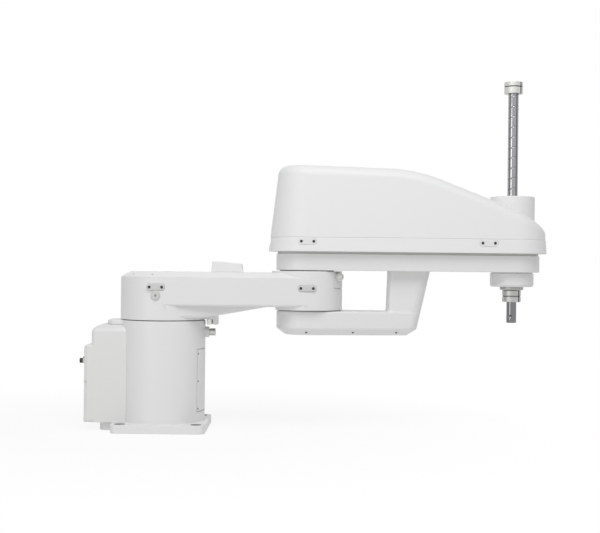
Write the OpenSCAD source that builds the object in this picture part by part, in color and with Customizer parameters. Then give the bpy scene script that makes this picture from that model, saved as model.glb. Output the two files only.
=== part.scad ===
// Four-axis assembly robot: a bolted base, two arms that swing about upright axes,
// and a splined spindle that turns and strokes at the far end.
// Origin: shoulder axis at the underside of the foot. +X runs out along the arms.

/* [Reach] */
// Shoulder axis to elbow axis
link1_l = 350; // [330:5:420]
// Elbow axis to spindle axis
link2_l = 500; // [470:5:560]

/* [Base] */
// Radius of the base column and of the turret that turns on it
shoulder_r = 103; // [96:1:106]
// Height of the base casting
base_h = 264; // [240:1:300]
// Side of the square foot
foot_w = 224; // [212:1:240]
// Thickness of the foot
foot_t = 20; // [14:1:26]
// Corner radius of the foot
foot_corner_r = 16; // [6:1:20]
// Reach of the foot's rear tab behind the shoulder axis
tab_reach = 150; // [130:1:158]
// Width of the foot's rear tab
tab_w = 62; // [40:1:100]
// Side of the square of anchor bolts
bolt_spacing = 180; // [176:1:184]
// Anchor bolt hole
bolt_hole_d = 13.5; // [11:0.5:15]
// Machined seat round each anchor bolt
spotface_d = 24; // [20:1:26]
// Depth of the machined seat
spotface_depth = 4; // [2:0.5:8]
// Reach of the rear shelf behind the shoulder axis
shelf_reach = 131; // [120:1:140]
// Width of the rear shelf
shelf_w = 90; // [70:1:110]
// Thickness of the rear shelf
shelf_t = 10.7; // [8:0.1:16]
// Corner radius of the rear shelf
shelf_corner_r = 24; // [10:1:30]

/* [Connector housing] */
// Reach of the housing behind the shoulder axis
housing_reach = 164; // [152:1:180]
// Width of the housing
housing_w = 132; // [120:1:150]
// Corner radius of the housing
housing_corner_r = 10; // [6:1:11]
// Width of the slope round the top of the housing
housing_bevel = 18; // [8:1:22]
// Height of the slope round the top of the housing
housing_bevel_h = 10; // [6:1:16]
// Depth of the connector panel behind the housing
panel_t = 17; // [10:1:28]
// Width of the connector panel
panel_w = 110; // [90:1:118]
// Height of the connector panel
panel_h = 186; // [150:1:200]
// Slope at the top of the connector panel
panel_bevel = 9; // [4:1:12]
// Height of the air fittings above the foot
fitting_rise = 149; // [120:1:155]
// Distance between the two air fittings
fitting_pitch = 44; // [30:1:60]
// Width of an air fitting's hexagon, across its corners
fitting_d = 13; // [10:0.5:16]
// Diameter of an air fitting's release ring
fitting_ring_d = 9; // [6:0.5:10]
// Length of an air fitting
fitting_l = 11; // [8:0.5:14]
// Height of the cable ports above the foot
port_rise = 38; // [30:1:60]
// Distance between the two cable ports
port_pitch = 50; // [44:1:60]
// Diameter of a cable port
port_d = 36; // [26:1:40]
// Height of a cable port's cap
port_cap_h = 4; // [2:0.5:6]

/* [Access panel] */
// Angle that the panel wraps round the column
access_span = 69; // [50:1:80]
// Height of the panel
access_h = 148; // [120:1:160]
// Lower edge of the panel above the foot
access_rise = 23; // [15:1:40]
// Thickness of the panel
access_t = 3; // [2:0.5:5]
// Open joint round the panel
access_gap = 1; // [0.5:0.1:2]

/* [Shoulder stops] */
// Stop bolt axis below the top of the column
stop_drop = 29; // [26:0.5:34]
// Boss under the stop bolt
stop_boss_d = 26; // [20:1:30]
// Reach of the boss beyond the column
stop_boss_l = 10; // [6:1:14]
// Head of the stop bolt
stop_head_d = 17.5; // [14:0.5:20]
// Length of the bolt head
stop_head_l = 15; // [8:1:18]
// Radius of the outside of the stop lug on the arm
lug_r = 135; // [128:1:138]
// Radial thickness of the lug's rim
lug_rim_t = 9; // [6:1:12]
// Angle that the lug spans
lug_span = 24; // [16:1:30]
// Depth that the lug hangs below the turret
lug_drop = 12; // [8:0.5:13]
// Underside of the lug above that of the turret
lug_lift = 0.5; // [0.5:0.5:6]
// Radial thickness of the stop block behind the rim
lug_block_t = 12; // [8:1:14]
// Angle that the stop block spans
lug_block_span = 19; // [12:1:24]
// Space between the rim and the stop block
lug_block_gap = 5; // [2:0.5:6]

/* [Bearings] */
// Height of each bearing joint
bearing_h = 2; // [1.5:0.1:4]
// Running gap between pieces that turn on each other
run_gap = 0.3; // [0.2:0.05:0.5]
// Seam between fixed pieces
seam = 0.3; // [0.2:0.05:0.5]
// Setback of a bearing ring from the hub it serves
ring_setback = 8; // [5:1:14]
// Radial width of a bearing ring
ring_w = 30; // [20:1:36]

/* [Inner arm] */
// Radius of the elbow hub
elbow_r = 86; // [80:1:90]
// Turret height below the arm's underside
turret_h = 34; // [28:1:44]
// Depth of the arm casting
slab_h = 68; // [60:1:80]
// Height of the arm's lid
lid_h = 13.5; // [8:0.5:16]
// Width of the slope round the lid
lid_bevel = 24; // [14:1:30]
// Elbow hub above the lid
hub_rise = 4.5; // [3:0.5:6]
// Elbow hub below the arm's underside
hub_drop = 8; // [6:0.5:16]
// Flat rear of the hub below the arm, from the elbow axis
hub_flat = 75.5; // [70:0.5:78]
// Length of the tapered keel from the shoulder axis
keel_l = 262; // [220:1:265]
// Width of the keel at its thin end
keel_w = 96; // [70:1:110]
// Setback of the keel's wide end from the turret's side
keel_setback = 2; // [1:0.5:6]
// Start of the keel above the turret's underside
keel_rise = 6; // [5:0.5:14]

/* [Elbow stops] */
// Distance of the stop block from the shoulder axis
block_start = 117; // [100:1:130]
// Length of the stop block
block_l = 77; // [60:1:85]
// Width of the stop block
block_w = 32; // [24:1:44]
// Height of the stop block's shoulder end
block_h = 27; // [18:1:32]
// Height of the stop block's elbow end
block_end_h = 21; // [14:1:26]
// Slope of the stop block's ends, along the arm
block_rake = 2.5; // [2:0.5:14]
// Radius of the rubber bumper on the elbow hub
bumper_r = 9.5; // [8:0.5:12]
// Length of the rubber bumper across the arm
bumper_w = 96; // [70:1:104]
// Bumper axis in from the rim of the hub
bumper_inset = 6; // [1:0.5:7]
// Top of the bumper below the top of the hub
bumper_drop = 3.5; // [3.5:0.5:10]
// Angle that the bumper's plate wraps round the hub
plate_span = 82; // [50:1:90]
// Height of the bumper's plate
plate_h = 37; // [30:1:42]
// Top of the bumper's plate below the top of the hub
plate_drop = 4; // [3:0.5:8]
// Thickness of the bumper's plate
plate_t = 4; // [2:0.5:5]

/* [Fixing plates] */
// Length of a fixing plate
fix_l = 44; // [36:1:50]
// Width of a fixing plate
fix_w = 14; // [12:0.5:18]
// Thickness of a fixing plate of the cover
fix_t = 1.5; // [1:0.1:2.5]
// Thickness of a fixing plate of the inner arm
arm_fix_t = 4.5; // [3:0.1:5]
// Depth of the flat pocket that a fixing plate sits in
fix_pocket = 3.5; // [3:0.1:5]
// Depth of the pocket in the cover's round rear end
rear_pocket = 7; // [6:0.5:10]
// Open joint round a fixing plate
fix_gap = 1; // [0.5:0.1:2]
// Fixing plates of the inner arm above its underside
arm_fix_rise = 45; // [36:1:50]
// Shoulder's fixing plates from the shoulder axis, along the arm
shoulder_fix_x = -7; // [-15:1:15]
// Radius of the round tab under the shoulder's plate
fix_tab_r = 11; // [8:0.5:13]
// Distance from the plate to the centre of the tab
fix_tab_drop = 20; // [16:0.5:24]
// Fixing plates of the cover above the cover's lower edge
cover_fix_rise = 24; // [16:0.5:26]
// Distance of the cover's near fixing plates from the elbow axis
cover_fix_start = -2; // [-8:1:20]
// Distance of the cover's far fixing plates from the elbow axis
cover_fix_reach = 429; // [380:1:450]

/* [Outer arm] */
// Radius of the arm casting round the elbow axis
casting_elbow_r = 74; // [68:1:82]
// Radius of the arm casting round the spindle axis
casting_spindle_r = 66; // [60:1:72]
// Depth of the arm casting
casting_h = 45; // [36:0.5:60]
// Radius of the cover round the elbow axis
cover_elbow_r = 91; // [84:1:100]
// Radius of the cover round the spindle axis
cover_spindle_r = 83; // [78:1:90]
// Height of the cover over the elbow axis
cover_h = 206; // [190:1:230]
// Height of the cover's skirt
skirt_h = 33; // [28:1:40]
// Ledge between the skirt and the wall above it
skirt_ledge = 1; // [0.5:0.1:3]
// Draft of the skirt, degrees
skirt_draft = 4; // [1:0.5:6]
// Draft of the cover's sides, degrees
wall_draft = 3; // [1:0.5:5]
// Draft of the cover's rear end, degrees
rear_draft = 6.6; // [2:0.1:9]
// Rounding between the cover's walls and its top
edge_r = 26; // [16:1:30]
// Height of that rounding at the nose
nose_edge_h = 15; // [10:1:26]
// Fall of the level part of the cover's top, per unit of length
level_fall = 0.03; // [0:0.005:0.05]
// Fall of the sloping part of the cover's top, per unit of length
nose_fall = 0.389; // [0.3:0.005:0.4]
// Start of the bend in the cover's top, from the elbow axis
bend_start = 195; // [170:5:230]
// Length of the bend in the cover's top
bend_l = 120; // [60:5:140]
// Start of the second bend, over the nose, from the elbow axis
tip_start = 430; // [400:5:460]
// Length of the second bend
tip_l = 150; // [120:5:170]
// Fall that the second bend has added at its end, per unit of length
tip_fall = 0.17; // [0:0.01:0.2]
// Radius of the spindle tower
tower_r = 52.6; // [48:0.1:56]
// Height of the spindle tower above the cover's lower edge
tower_h = 138; // [125:1:150]
// Rounding of the tower's rim
tower_round = 4; // [2:0.5:8]

/* [Cable duct] */
// Radius of the duct round the elbow axis
duct_r = 73.5; // [66:0.5:80]
// Depth of the duct casting
duct_h = 40; // [30:1:50]
// Reach of the duct from the elbow axis
duct_reach = 276; // [250:1:300]
// Width of the duct's far end
duct_end_w = 90; // [80:1:110]
// Corner radius of the duct's far end
duct_corner_r = 27; // [25:1:34]
// Lean of the duct's far end, degrees
duct_lean = 12.8; // [4:0.2:14]
// Depth of the duct's bottom cover
duct_cover_h = 17.5; // [10:0.5:22]
// Width of the slope round the bottom cover
duct_bevel = 24; // [14:1:24]
// Start of the riser from the elbow axis
riser_start = 195.5; // [180:0.5:200]
// Lean of the riser's near side, degrees
riser_lean = 1.7; // [0:0.1:4]
// Width of the riser
riser_w = 88; // [60:1:90]
// Corner radius on the riser's near side
riser_near_r = 9; // [4:1:14]

/* [Spindle] */
// Shaft diameter
shaft_d = 25; // [20:1:28]
// Diameter of the plain journal at the shaft's lower end
journal_d = 24; // [16:1:24]
// Slope round the journal's end
journal_bevel = 1; // [0.5:0.1:2]
// Shaft length above the tower
shaft_above = 281; // [260:1:340]
// Shaft length below the nut housing
shaft_below = 88; // [75:1:110]
// Straight ball grooves round the shaft
spline_n = 3; // [3:1:4]
// Width of a ball groove
groove_w = 5; // [3:0.5:6]
// Depth of a ball groove
groove_depth = 1.2; // [0.6:0.1:1.8]
// Radius of the nut housing under the arm
boss_r = 52.5; // [46:0.5:58]
// Depth of the nut housing
boss_h = 35; // [24:0.5:44]
// Slope round the lower edge of the nut housing
boss_bevel = 5; // [2:0.5:8]
// Radius of the spline nut's body
nut_r = 24; // [20:0.5:28]
// Radius of the spline nut's flange
flange_r = 28.5; // [27:0.5:34]
// Thickness of the spline nut's flange
flange_h = 8; // [5:0.5:12]
// Slope round the flange's lower edge
flange_bevel = 2.5; // [1:0.5:4]
// Running clearance of the shaft in the nut
shaft_fit = 0.08; // [0.05:0.01:0.1]
// Clearance of the shaft in the arm's cover
shaft_clear = 1.5; // [1:0.1:3]
// Diameter of the stop collars
collar_d = 45; // [40:1:50]
// Height of the upper stop collar
upper_collar_h = 28.5; // [20:0.5:34]
// Height of the lower stop collar
lower_collar_h = 28; // [20:0.5:32]
// Space between the lower collar and the nut's flange
collar_space = 0.7; // [0.5:0.1:3]
// Width of the turned groove round a collar
collar_groove_w = 2.5; // [1.5:0.5:4]
// Depth of the turned groove round a collar
collar_groove_depth = 1.5; // [0.5:0.1:3]
// Upper collar's groove above its lower face
upper_groove_rise = 17; // [12:0.5:20]
// Lower collar's groove above its lower face
lower_groove_rise = 14; // [10:0.5:18]
// Width of the saw cut that lets a collar clamp
clamp_slit = 2; // [1:0.5:3]
// Direction of the upper collar's saw cut, degrees
upper_slit_turn = -20; // [-90:5:90]
// Direction of the lower collar's saw cut, degrees
lower_slit_turn = -45; // [-90:5:90]

/* [Hidden] */

// Facets of true rounds, and of one arc in a lofted ring
round_fn = 96;
arc_steps = 16;
// Steps along the cover's flank, and up the rounding of its top edge
flank_steps = 18;
edge_steps = 6;
// Overrun of a cut past the face that it opens
over = 1;
// Setback of an arm's flat flank, which lets it meet the round ends at an angle
flank_setback = 0.1;

// Heights of the joints, from the floor up
turret_z = base_h + bearing_h;
slab_z = turret_z + turret_h;
lid_z = slab_z + slab_h;
hub_z = slab_z - hub_drop;
hub_top = lid_z + lid_h + hub_rise;
casting_z = hub_top + bearing_h;
cover_z = casting_z + casting_h;
duct_top = hub_z - bearing_h;
duct_z = duct_top - duct_h;
boss_z = casting_z - boss_h;
tower_top = cover_z + tower_h;
shaft_z = boss_z - shaft_below;
shaft_top = tower_top + shaft_above;
lower_collar_top = boss_z - flange_h - run_gap - collar_space;
lower_collar_z = lower_collar_top - lower_collar_h;
upper_collar_z = shaft_top - upper_collar_h;

shelf_z = base_h - shelf_t;
housing_top = shelf_z - seam;
shaft_r = shaft_d / 2;
keel_z = turret_z + keel_rise;
lug_z = turret_z + lug_lift;
plate_z = hub_top - plate_drop - plate_h;
bumper_x = elbow_r - bumper_inset;
bumper_z = hub_top - bumper_drop - bumper_r;
collar_bore_r = shaft_r + shaft_fit;

white = [0.93, 0.93, 0.92];
moulded = [0.95, 0.95, 0.95];
dark = [0.2, 0.2, 0.21];
steel = [0.62, 0.62, 0.63];
satin = [0.8, 0.8, 0.79];

module at_elbow() {
  translate([link1_l, 0, 0]) children();
}

module at_spindle() {
  translate([link1_l + link2_l, 0, 0]) children();
}

// Both sides of the arm, the second mirrored
module both_sides() {
  children();
  mirror([0, 1, 0]) children();
}

// Flat outline between x0 and x1 with round corners
module rounded_plan(x0, x1, w, r) {
  translate([x0, -w / 2 + r]) square([x1 - x0, w - 2 * r]);
  translate([x0 + r, -w / 2]) square([x1 - x0 - 2 * r, w]);
  for (x = [x0 + r, x1 - r], y = [-w / 2 + r, w / 2 - r])
    translate([x, y]) circle(r = r, $fn = round_fn);
}

// Angle of the flank that touches both round ends of an arm
function flank_angle(l, r1, r2) = asin((r1 - r2) / l);

// Points of an arc at height z, in so many steps, leaving out as many at its end
function arc(x, y, r, from, to, z, steps = arc_steps, skip = 0) =
  [for (i = [0 : steps - skip])
    let (t = from + (to - from) * i / steps)
      [x + r * cos(t), y + r * sin(t), z]];

// Ring round a plan with a round end of radius r1 at the origin and, at x = l,
// two corners of radius r2 that lie spread to each side of the middle
function blunt_ring(l, r1, r2, spread, z) =
  let (a = asin((r1 - r2) / norm([l, spread])) - atan2(spread, l))
  concat(
    arc(0, 0, r1, 90 - a, 270 + a, z, 2 * arc_steps),
    arc(l, -spread, r2, 270 + a, 360, z, arc_steps, spread > 0 ? 0 : 1),
    arc(l, spread, r2, 0, 90 - a, z));

// Web of depth h between two round ends, with flanks that run out into both
module arm_web(l, r1, r2, h) {
  a = flank_angle(l, r1, r2);
  near = r1 - flank_setback;
  far = r2 - flank_setback;
  linear_extrude(h) polygon([
    [near * sin(a), near * cos(a)],
    [l + far * sin(a), far * cos(a)],
    [l + far * sin(a), -far * cos(a)],
    [near * sin(a), -near * cos(a)]
  ]);
}

// Ring round a box with corners of radius r0 at x0 and r1 at x1
function box_ring(x0, x1, w, r0, r1, z) =
  concat(
    arc(x0 + r0, -w / 2 + r0, r0, 180, 270, z),
    arc(x1 - r1, -w / 2 + r1, r1, 270, 360, z),
    arc(x1 - r1, w / 2 - r1, r1, 0, 90, z),
    arc(x0 + r0, w / 2 - r0, r0, 90, 180, z));

// Faces of the wall through stacked rings of n points
function wall_faces(n, rings) =
  [for (k = [0 : rings - 2], i = [0 : n - 1])
    [k * n + i, (k + 1) * n + i, (k + 1) * n + (i + 1) % n, k * n + (i + 1) % n]];

// Closed solid through stacked rings of points, lowest first
module loft(rings) {
  n = len(rings[0]);
  top = (len(rings) - 1) * n;
  polyhedron(
    points = [for (ring = rings) each ring],
    faces = concat(
      [[for (i = [0 : n - 1]) i]],
      wall_faces(n, len(rings)),
      [[for (i = [n - 1 : -1 : 0]) top + i]]),
    convexity = 4);
}

// Long plate outline with round ends, long way across
module slot_plan(l, w) {
  square([w, l - w], center = true);
  for (y = [-1, 1])
    translate([0, y * (l - w) / 2]) circle(d = w, $fn = round_fn);
}

// Places a flat shape on an arm's side: x along the arm, distance r out from its
// middle line, facing the direction given, at height z
module on_side(x, r, facing, z) {
  translate([x, 0, z]) rotate([0, 0, facing]) translate([r, 0, 0]) rotate([0, 90, 0]) children();
}

// Fixing plate, or with grow its pocket, lying on the plane of its pocket's floor
module fix_plan(grow = 0) {
  slot_plan(fix_l + 2 * grow, fix_w + 2 * grow);
}

// Shoulder's fixing plate: the same with a round tab hanging below
module tab_plan(grow = 0) {
  fix_plan(grow);
  translate([fix_tab_drop, 0]) circle(r = fix_tab_r + grow, $fn = round_fn);
  translate([0, -fix_tab_r / 2]) square([fix_tab_drop, fix_tab_r]);
}

module ring_plate(r_out, r_in, z, h) {
  translate([0, 0, z]) difference() {
    cylinder(r = r_out, h = h, $fn = round_fn);
    translate([0, 0, -over]) cylinder(r = r_in, h = h + 2 * over, $fn = round_fn);
  }
}

// Curved plate about the Z axis, centred on +X
module curved_plate(r, t, span, z, h) {
  rotate([0, 0, -span / 2]) rotate_extrude(angle = span, $fn = round_fn)
    translate([r, z]) square([t, h]);
}

// Cast base: square foot, round column, rear shelf and the boss of the stop bolt
module base_casting() {
  gap_angle = access_gap / shoulder_r * 180 / PI;
  color(white) difference() {
    union() {
      linear_extrude(foot_t) {
        rounded_plan(-foot_w / 2, foot_w / 2, foot_w, foot_corner_r);
        rounded_plan(-tab_reach, 0, tab_w, foot_corner_r);
      }
      cylinder(r = shoulder_r, h = base_h, $fn = round_fn);
      translate([0, 0, shelf_z]) linear_extrude(shelf_t)
        rounded_plan(-shelf_reach, 0, shelf_w, shelf_corner_r);
      translate([0, 0, base_h - stop_drop]) rotate([0, 90, 0])
        cylinder(d = stop_boss_d, h = shoulder_r + stop_boss_l, $fn = round_fn);
    }
    for (x = [-1, 1], y = [-1, 1]) translate([x, y, 0] * bolt_spacing / 2) {
      translate([0, 0, -over]) cylinder(d = bolt_hole_d, h = foot_t + 2 * over, $fn = round_fn);
      translate([0, 0, foot_t - spotface_depth])
        cylinder(d = spotface_d, h = spotface_depth + over, $fn = round_fn);
    }
    curved_plate(shoulder_r - access_t - seam, access_t + seam + over,
      access_span + 2 * gap_angle, foot_t + access_rise - access_gap, access_h + 2 * access_gap);
  }
}

// Moulded housing behind the column, where the cables come in
module connector_housing() {
  back = -housing_reach;
  front = 0;
  color(white) difference() {
    loft([
      box_ring(back, front, housing_w, housing_corner_r, housing_corner_r, foot_t),
      box_ring(back, front, housing_w, housing_corner_r, housing_corner_r,
        housing_top - housing_bevel_h),
      box_ring(back + housing_bevel, front, housing_w - 2 * housing_bevel,
        housing_corner_r, housing_corner_r, housing_top)
    ]);
    cylinder(r = shoulder_r + seam, h = base_h, $fn = round_fn);
  }
}

// Raised panel on the housing's rear face
module connector_panel() {
  back = -housing_reach - panel_t;
  color(moulded) rotate([90, 0, 0]) translate([0, 0, -panel_w / 2]) linear_extrude(panel_w)
    polygon([
      [-housing_reach, foot_t],
      [-housing_reach, foot_t + panel_h],
      [back + panel_bevel, foot_t + panel_h],
      [back, foot_t + panel_h - panel_bevel],
      [back, foot_t]
    ]);
}

// A pair of round pieces standing on the connector panel
module panel_pair(rise, pitch) {
  for (y = [-1, 1])
    translate([-housing_reach - panel_t, y * pitch / 2, foot_t + rise]) rotate([0, -90, 0])
      children();
}

module air_fittings() {
  nut_l = fitting_l / 2;
  color(dark) panel_pair(fitting_rise, fitting_pitch) {
    cylinder(d = fitting_d, h = nut_l, $fn = 6);
    translate([0, 0, nut_l]) cylinder(d = fitting_ring_d, h = fitting_l - nut_l, $fn = round_fn);
  }
}

module cable_ports() {
  color(satin) panel_pair(port_rise, port_pitch) cylinder(d = port_d, h = port_cap_h, $fn = round_fn);
}

// Flush curved cover over the base's wiring
module access_panel() {
  color(white)
    curved_plate(shoulder_r - access_t, access_t, access_span, foot_t + access_rise, access_h);
}

module shoulder_stop_bolt() {
  color(steel) translate([shoulder_r + stop_boss_l, 0, base_h - stop_drop]) rotate([0, 90, 0])
    cylinder(d = stop_head_d, h = stop_head_l, $fn = round_fn);
}

module shoulder_bearing() {
  r = shoulder_r - ring_setback;
  color(dark) ring_plate(r, r - ring_w, base_h, bearing_h - run_gap);
}

// Cast inner arm: turret, tapered keel, arm, elbow hub and the rim of the stop lug
module inner_arm_casting() {
  gap_angle = fix_gap / elbow_r * 180 / PI;
  color(white) difference() {
    union() {
      translate([0, 0, turret_z]) cylinder(r = shoulder_r, h = lid_z - turret_z, $fn = round_fn);
      translate([0, 0, slab_z]) arm_web(link1_l, shoulder_r, elbow_r, slab_h);
      at_elbow() translate([0, 0, hub_z]) cylinder(r = elbow_r, h = hub_top - hub_z, $fn = round_fn);
      keel();
      curved_plate(shoulder_r / 2, lug_r - shoulder_r / 2, lug_span, lug_z, slab_z - lug_z);
      curved_plate(lug_r - lug_rim_t, lug_rim_t, lug_span, turret_z - lug_drop, lug_lift + lug_drop);
    }
    at_elbow() translate([-elbow_r - over, -elbow_r, hub_z - over])
      cube([elbow_r + over - hub_flat, 2 * elbow_r, hub_drop + over]);
    at_elbow() curved_plate(elbow_r - plate_t - seam, plate_t + seam + over,
      plate_span + 2 * gap_angle, plate_z - fix_gap, plate_h + 2 * fix_gap);
    both_sides() {
      on_side(shoulder_fix_x, shoulder_r - fix_pocket, -90, slab_z + arm_fix_rise)
        linear_extrude(fix_pocket + over) tab_plan(fix_gap);
      at_elbow() on_side(0, elbow_r - fix_pocket, -90, slab_z + arm_fix_rise)
        linear_extrude(fix_pocket + over) fix_plan(fix_gap);
    }
  }
}

// Keel under the arm: as wide as the turret at the shoulder, thinning towards the elbow
module keel() {
  intersection() {
    rotate([90, 0, 0]) translate([0, 0, -shoulder_r]) linear_extrude(2 * shoulder_r)
      polygon([[0, keel_z], [shoulder_r, keel_z], [keel_l, slab_z], [0, slab_z]]);
    translate([0, 0, keel_z]) linear_extrude(slab_z - keel_z)
      polygon([
        [0, -shoulder_r + keel_setback],
        [keel_l, -keel_w / 2],
        [keel_l, keel_w / 2],
        [0, shoulder_r - keel_setback]
      ]);
  }
}

// Lid over the arm, sloped all round and cut away for the elbow hub
module inner_arm_lid() {
  color(moulded) difference() {
    loft([
      blunt_ring(link1_l, shoulder_r, elbow_r, 0, lid_z),
      blunt_ring(link1_l, shoulder_r - lid_bevel, elbow_r - lid_bevel, 0, lid_z + lid_h)
    ]);
    at_elbow() translate([0, 0, lid_z - over])
      cylinder(r = elbow_r + seam, h = lid_h + 2 * over, $fn = round_fn);
  }
}

// Stop block that hangs behind the lug's rim
module shoulder_stop_block() {
  r = lug_r - lug_rim_t - lug_block_gap - lug_block_t;
  color(satin)
    curved_plate(r, lug_block_t, lug_block_span, turret_z - lug_drop, lug_lift + lug_drop);
}

// Stop block on the lid, highest towards the shoulder
module elbow_stop_block() {
  z = lid_z + lid_h;
  color(moulded) rotate([90, 0, 0]) translate([0, 0, -block_w / 2]) linear_extrude(block_w)
    polygon([
      [block_start, z],
      [block_start + block_l, z],
      [block_start + block_l - block_rake, z + block_end_h],
      [block_start + block_rake, z + block_h]
    ]);
}

// Curved plate, flush with the elbow hub, that carries its bumper
module elbow_stop_plate() {
  color(white) at_elbow() curved_plate(elbow_r - plate_t, plate_t, plate_span, plate_z, plate_h);
}

// Rubber bumper that lies across the end of the elbow hub, moulded round its plate
module elbow_bumper() {
  color(dark) at_elbow() difference() {
    translate([bumper_x, bumper_w / 2, bumper_z]) rotate([90, 0, 0])
      cylinder(r = bumper_r, h = bumper_w, $fn = round_fn);
    translate([0, 0, bumper_z - bumper_r - over])
      cylinder(r = elbow_r + seam, h = 2 * (bumper_r + over), $fn = round_fn);
  }
}

module shoulder_fixings() {
  color(satin) both_sides()
    on_side(shoulder_fix_x, shoulder_r - fix_pocket, -90, slab_z + arm_fix_rise)
      linear_extrude(arm_fix_t) tab_plan();
}

module elbow_fixings() {
  color(satin) at_elbow() both_sides()
    on_side(0, elbow_r - fix_pocket, -90, slab_z + arm_fix_rise)
      linear_extrude(arm_fix_t) fix_plan();
}

module elbow_upper_bearing() {
  r = casting_elbow_r - ring_setback;
  color(dark) at_elbow() ring_plate(r, r - ring_w, hub_top, bearing_h - run_gap);
}

module elbow_lower_bearing() {
  r = duct_r - ring_setback;
  color(dark) at_elbow() ring_plate(r, r - ring_w, duct_top + run_gap, bearing_h - run_gap);
}

// Cast outer arm, bored for the spindle
module outer_arm_casting() {
  color(white) at_elbow() difference() {
    translate([0, 0, casting_z]) {
      cylinder(r = casting_elbow_r, h = casting_h, $fn = round_fn);
      translate([link2_l, 0, 0]) cylinder(r = casting_spindle_r, h = casting_h, $fn = round_fn);
      arm_web(link2_l, casting_elbow_r, casting_spindle_r, casting_h);
    }
    translate([link2_l, 0, casting_z - over])
      cylinder(r = nut_r + run_gap, h = casting_h + 2 * over, $fn = round_fn);
  }
}

// Height of the cover's top at a distance from the elbow axis: level, then a bend
// of steadily growing fall, a straight slope, and a second bend over the nose
function cover_top(x) =
  let (u = x - bend_start, gain = nose_fall - level_fall, tip = max(0, x - tip_start))
  cover_z + cover_h - level_fall * x
    - (u < 0 ? 0 : u < bend_l ? gain * u * u / (2 * bend_l) : gain * (u - bend_l / 2))
    - tip_fall * tip * tip / (2 * tip_l);

cover_a = flank_angle(link2_l, cover_elbow_r, cover_spindle_r);

// Stations along the cover's near side, rear end to nose: distance of the centre
// along the arm, and direction of the outward normal
cover_near = concat(
  [for (i = [0 : arc_steps]) [0, 180 + (90 + cover_a) * i / arc_steps]],
  [for (i = [1 : flank_steps - 1]) [link2_l * i / flank_steps, 270 + cover_a]],
  [for (i = [0 : arc_steps]) [link2_l, 270 + cover_a + (90 - cover_a) * i / arc_steps]]);

// Stations right round: the near side and then its mirror image, nose to rear
cover_round = concat(
  cover_near,
  [for (i = [len(cover_near) - 2 : -1 : 1]) [cover_near[i][0], -cover_near[i][1]]]);

// Point of a station drawn in by an inset
function cover_point(s, inset) =
  let (r = cover_elbow_r + (cover_spindle_r - cover_elbow_r) * s[0] / link2_l - inset)
  [s[0] + r * cos(s[1]), r * sin(s[1])];

// Inset of the skirt's upper edge, of the wall's foot on the ledge above it, and of
// the wall where its rounding starts, which is flatter at the nose
skirt_inset = skirt_h * tan(skirt_draft);
foot_inset = skirt_inset + skirt_ledge;
function edge_h(s) = edge_r + (nose_edge_h - edge_r) * pow(max(0, cos(s[1])), 2);
function wall_top(s) = cover_top(cover_point(s, foot_inset)[0]) - edge_h(s);
function wall_inset(s) =
  let (rear = pow(max(0, -cos(s[1])), 2))
  foot_inset + (wall_top(s) - cover_z - skirt_h)
    * tan(wall_draft + (rear_draft - wall_draft) * rear);

// Point of a station on the rounded edge, turned from 0 at the wall to 90 at the top
function edge_point(s, turn) =
  let (p = cover_point(s, wall_inset(s) + edge_r * (1 - cos(turn))))
  [p[0], p[1], cover_top(p[0]) - edge_h(s) * (1 - sin(turn))];

function lift(p, z) = [p[0], p[1], z];

// Moulded cover: skirt, drafted wall, rounded edge and a top drawn across in strips
module cover_shell() {
  n = len(cover_round);
  half = len(cover_near);
  rings = concat(
    [[for (s = cover_round) lift(cover_point(s, 0), cover_z)]],
    [for (inset = [skirt_inset, foot_inset])
      [for (s = cover_round) lift(cover_point(s, inset), cover_z + skirt_h)]],
    [for (k = [0 : edge_steps]) [for (s = cover_round) edge_point(s, 90 * k / edge_steps)]]);
  top = (len(rings) - 1) * n;
  polyhedron(
    points = [for (ring = rings) each ring],
    faces = concat(
      [[for (i = [0 : n - 1]) i]],
      wall_faces(n, len(rings)),
      [[top, top + n - 1, top + 1]],
      [for (i = [1 : half - 3]) [top + i, top + n - i, top + n - i - 1, top + i + 1]],
      [[top + half - 2, top + half, top + half - 1]]),
    convexity = 6);
}

// Tower with a rounded rim, which the spindle rises through
module tower() {
  translate([0, 0, cover_z]) cylinder(r = tower_r, h = tower_h - tower_round, $fn = round_fn);
  translate([0, 0, cover_z]) cylinder(r = tower_r - tower_round, h = tower_h, $fn = round_fn);
  translate([0, 0, tower_top - tower_round]) rotate_extrude($fn = round_fn)
    translate([tower_r - tower_round, 0]) intersection() {
      circle(r = tower_round, $fn = round_fn);
      square(tower_round);
    }
}

module outer_arm_cover() {
  color(moulded) at_elbow() difference() {
    union() {
      cover_shell();
      translate([link2_l, 0, 0]) tower();
    }
    translate([link2_l, 0, cover_z - over])
      cylinder(r = shaft_r + shaft_clear, h = tower_h + 2 * over, $fn = round_fn);
    both_sides() for (x = [cover_fix_start, cover_fix_reach])
      cover_side(x) linear_extrude(fix_pocket + over) fix_plan(fix_gap);
    cover_rear() linear_extrude(rear_pocket + over) fix_plan(fix_gap);
  }
}

// Places a fixing plate on the floor of its pocket in the cover's near side
module cover_side(x) {
  r = cover_elbow_r + (cover_spindle_r - cover_elbow_r) * x / link2_l;
  on_side(x, r - fix_pocket, cover_a - 90, cover_z + cover_fix_rise) children();
}

// The same on the cover's round rear end, where the pocket is deeper
module cover_rear() {
  on_side(0, cover_elbow_r - rear_pocket, 180, cover_z + cover_fix_rise) children();
}

module cover_fixings() {
  color(satin) at_elbow() both_sides() for (x = [cover_fix_start, cover_fix_reach])
    cover_side(x) linear_extrude(fix_t) fix_plan();
}

module cover_rear_fixing() {
  color(satin) at_elbow() cover_rear() linear_extrude(fix_t) fix_plan();
}

// Reach of the leaning far end, shared by the duct, its cover and the riser
function duct_end(z) = duct_reach + (z - duct_top) * tan(duct_lean);
duct_spread = duct_end_w / 2 - duct_corner_r;

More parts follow.
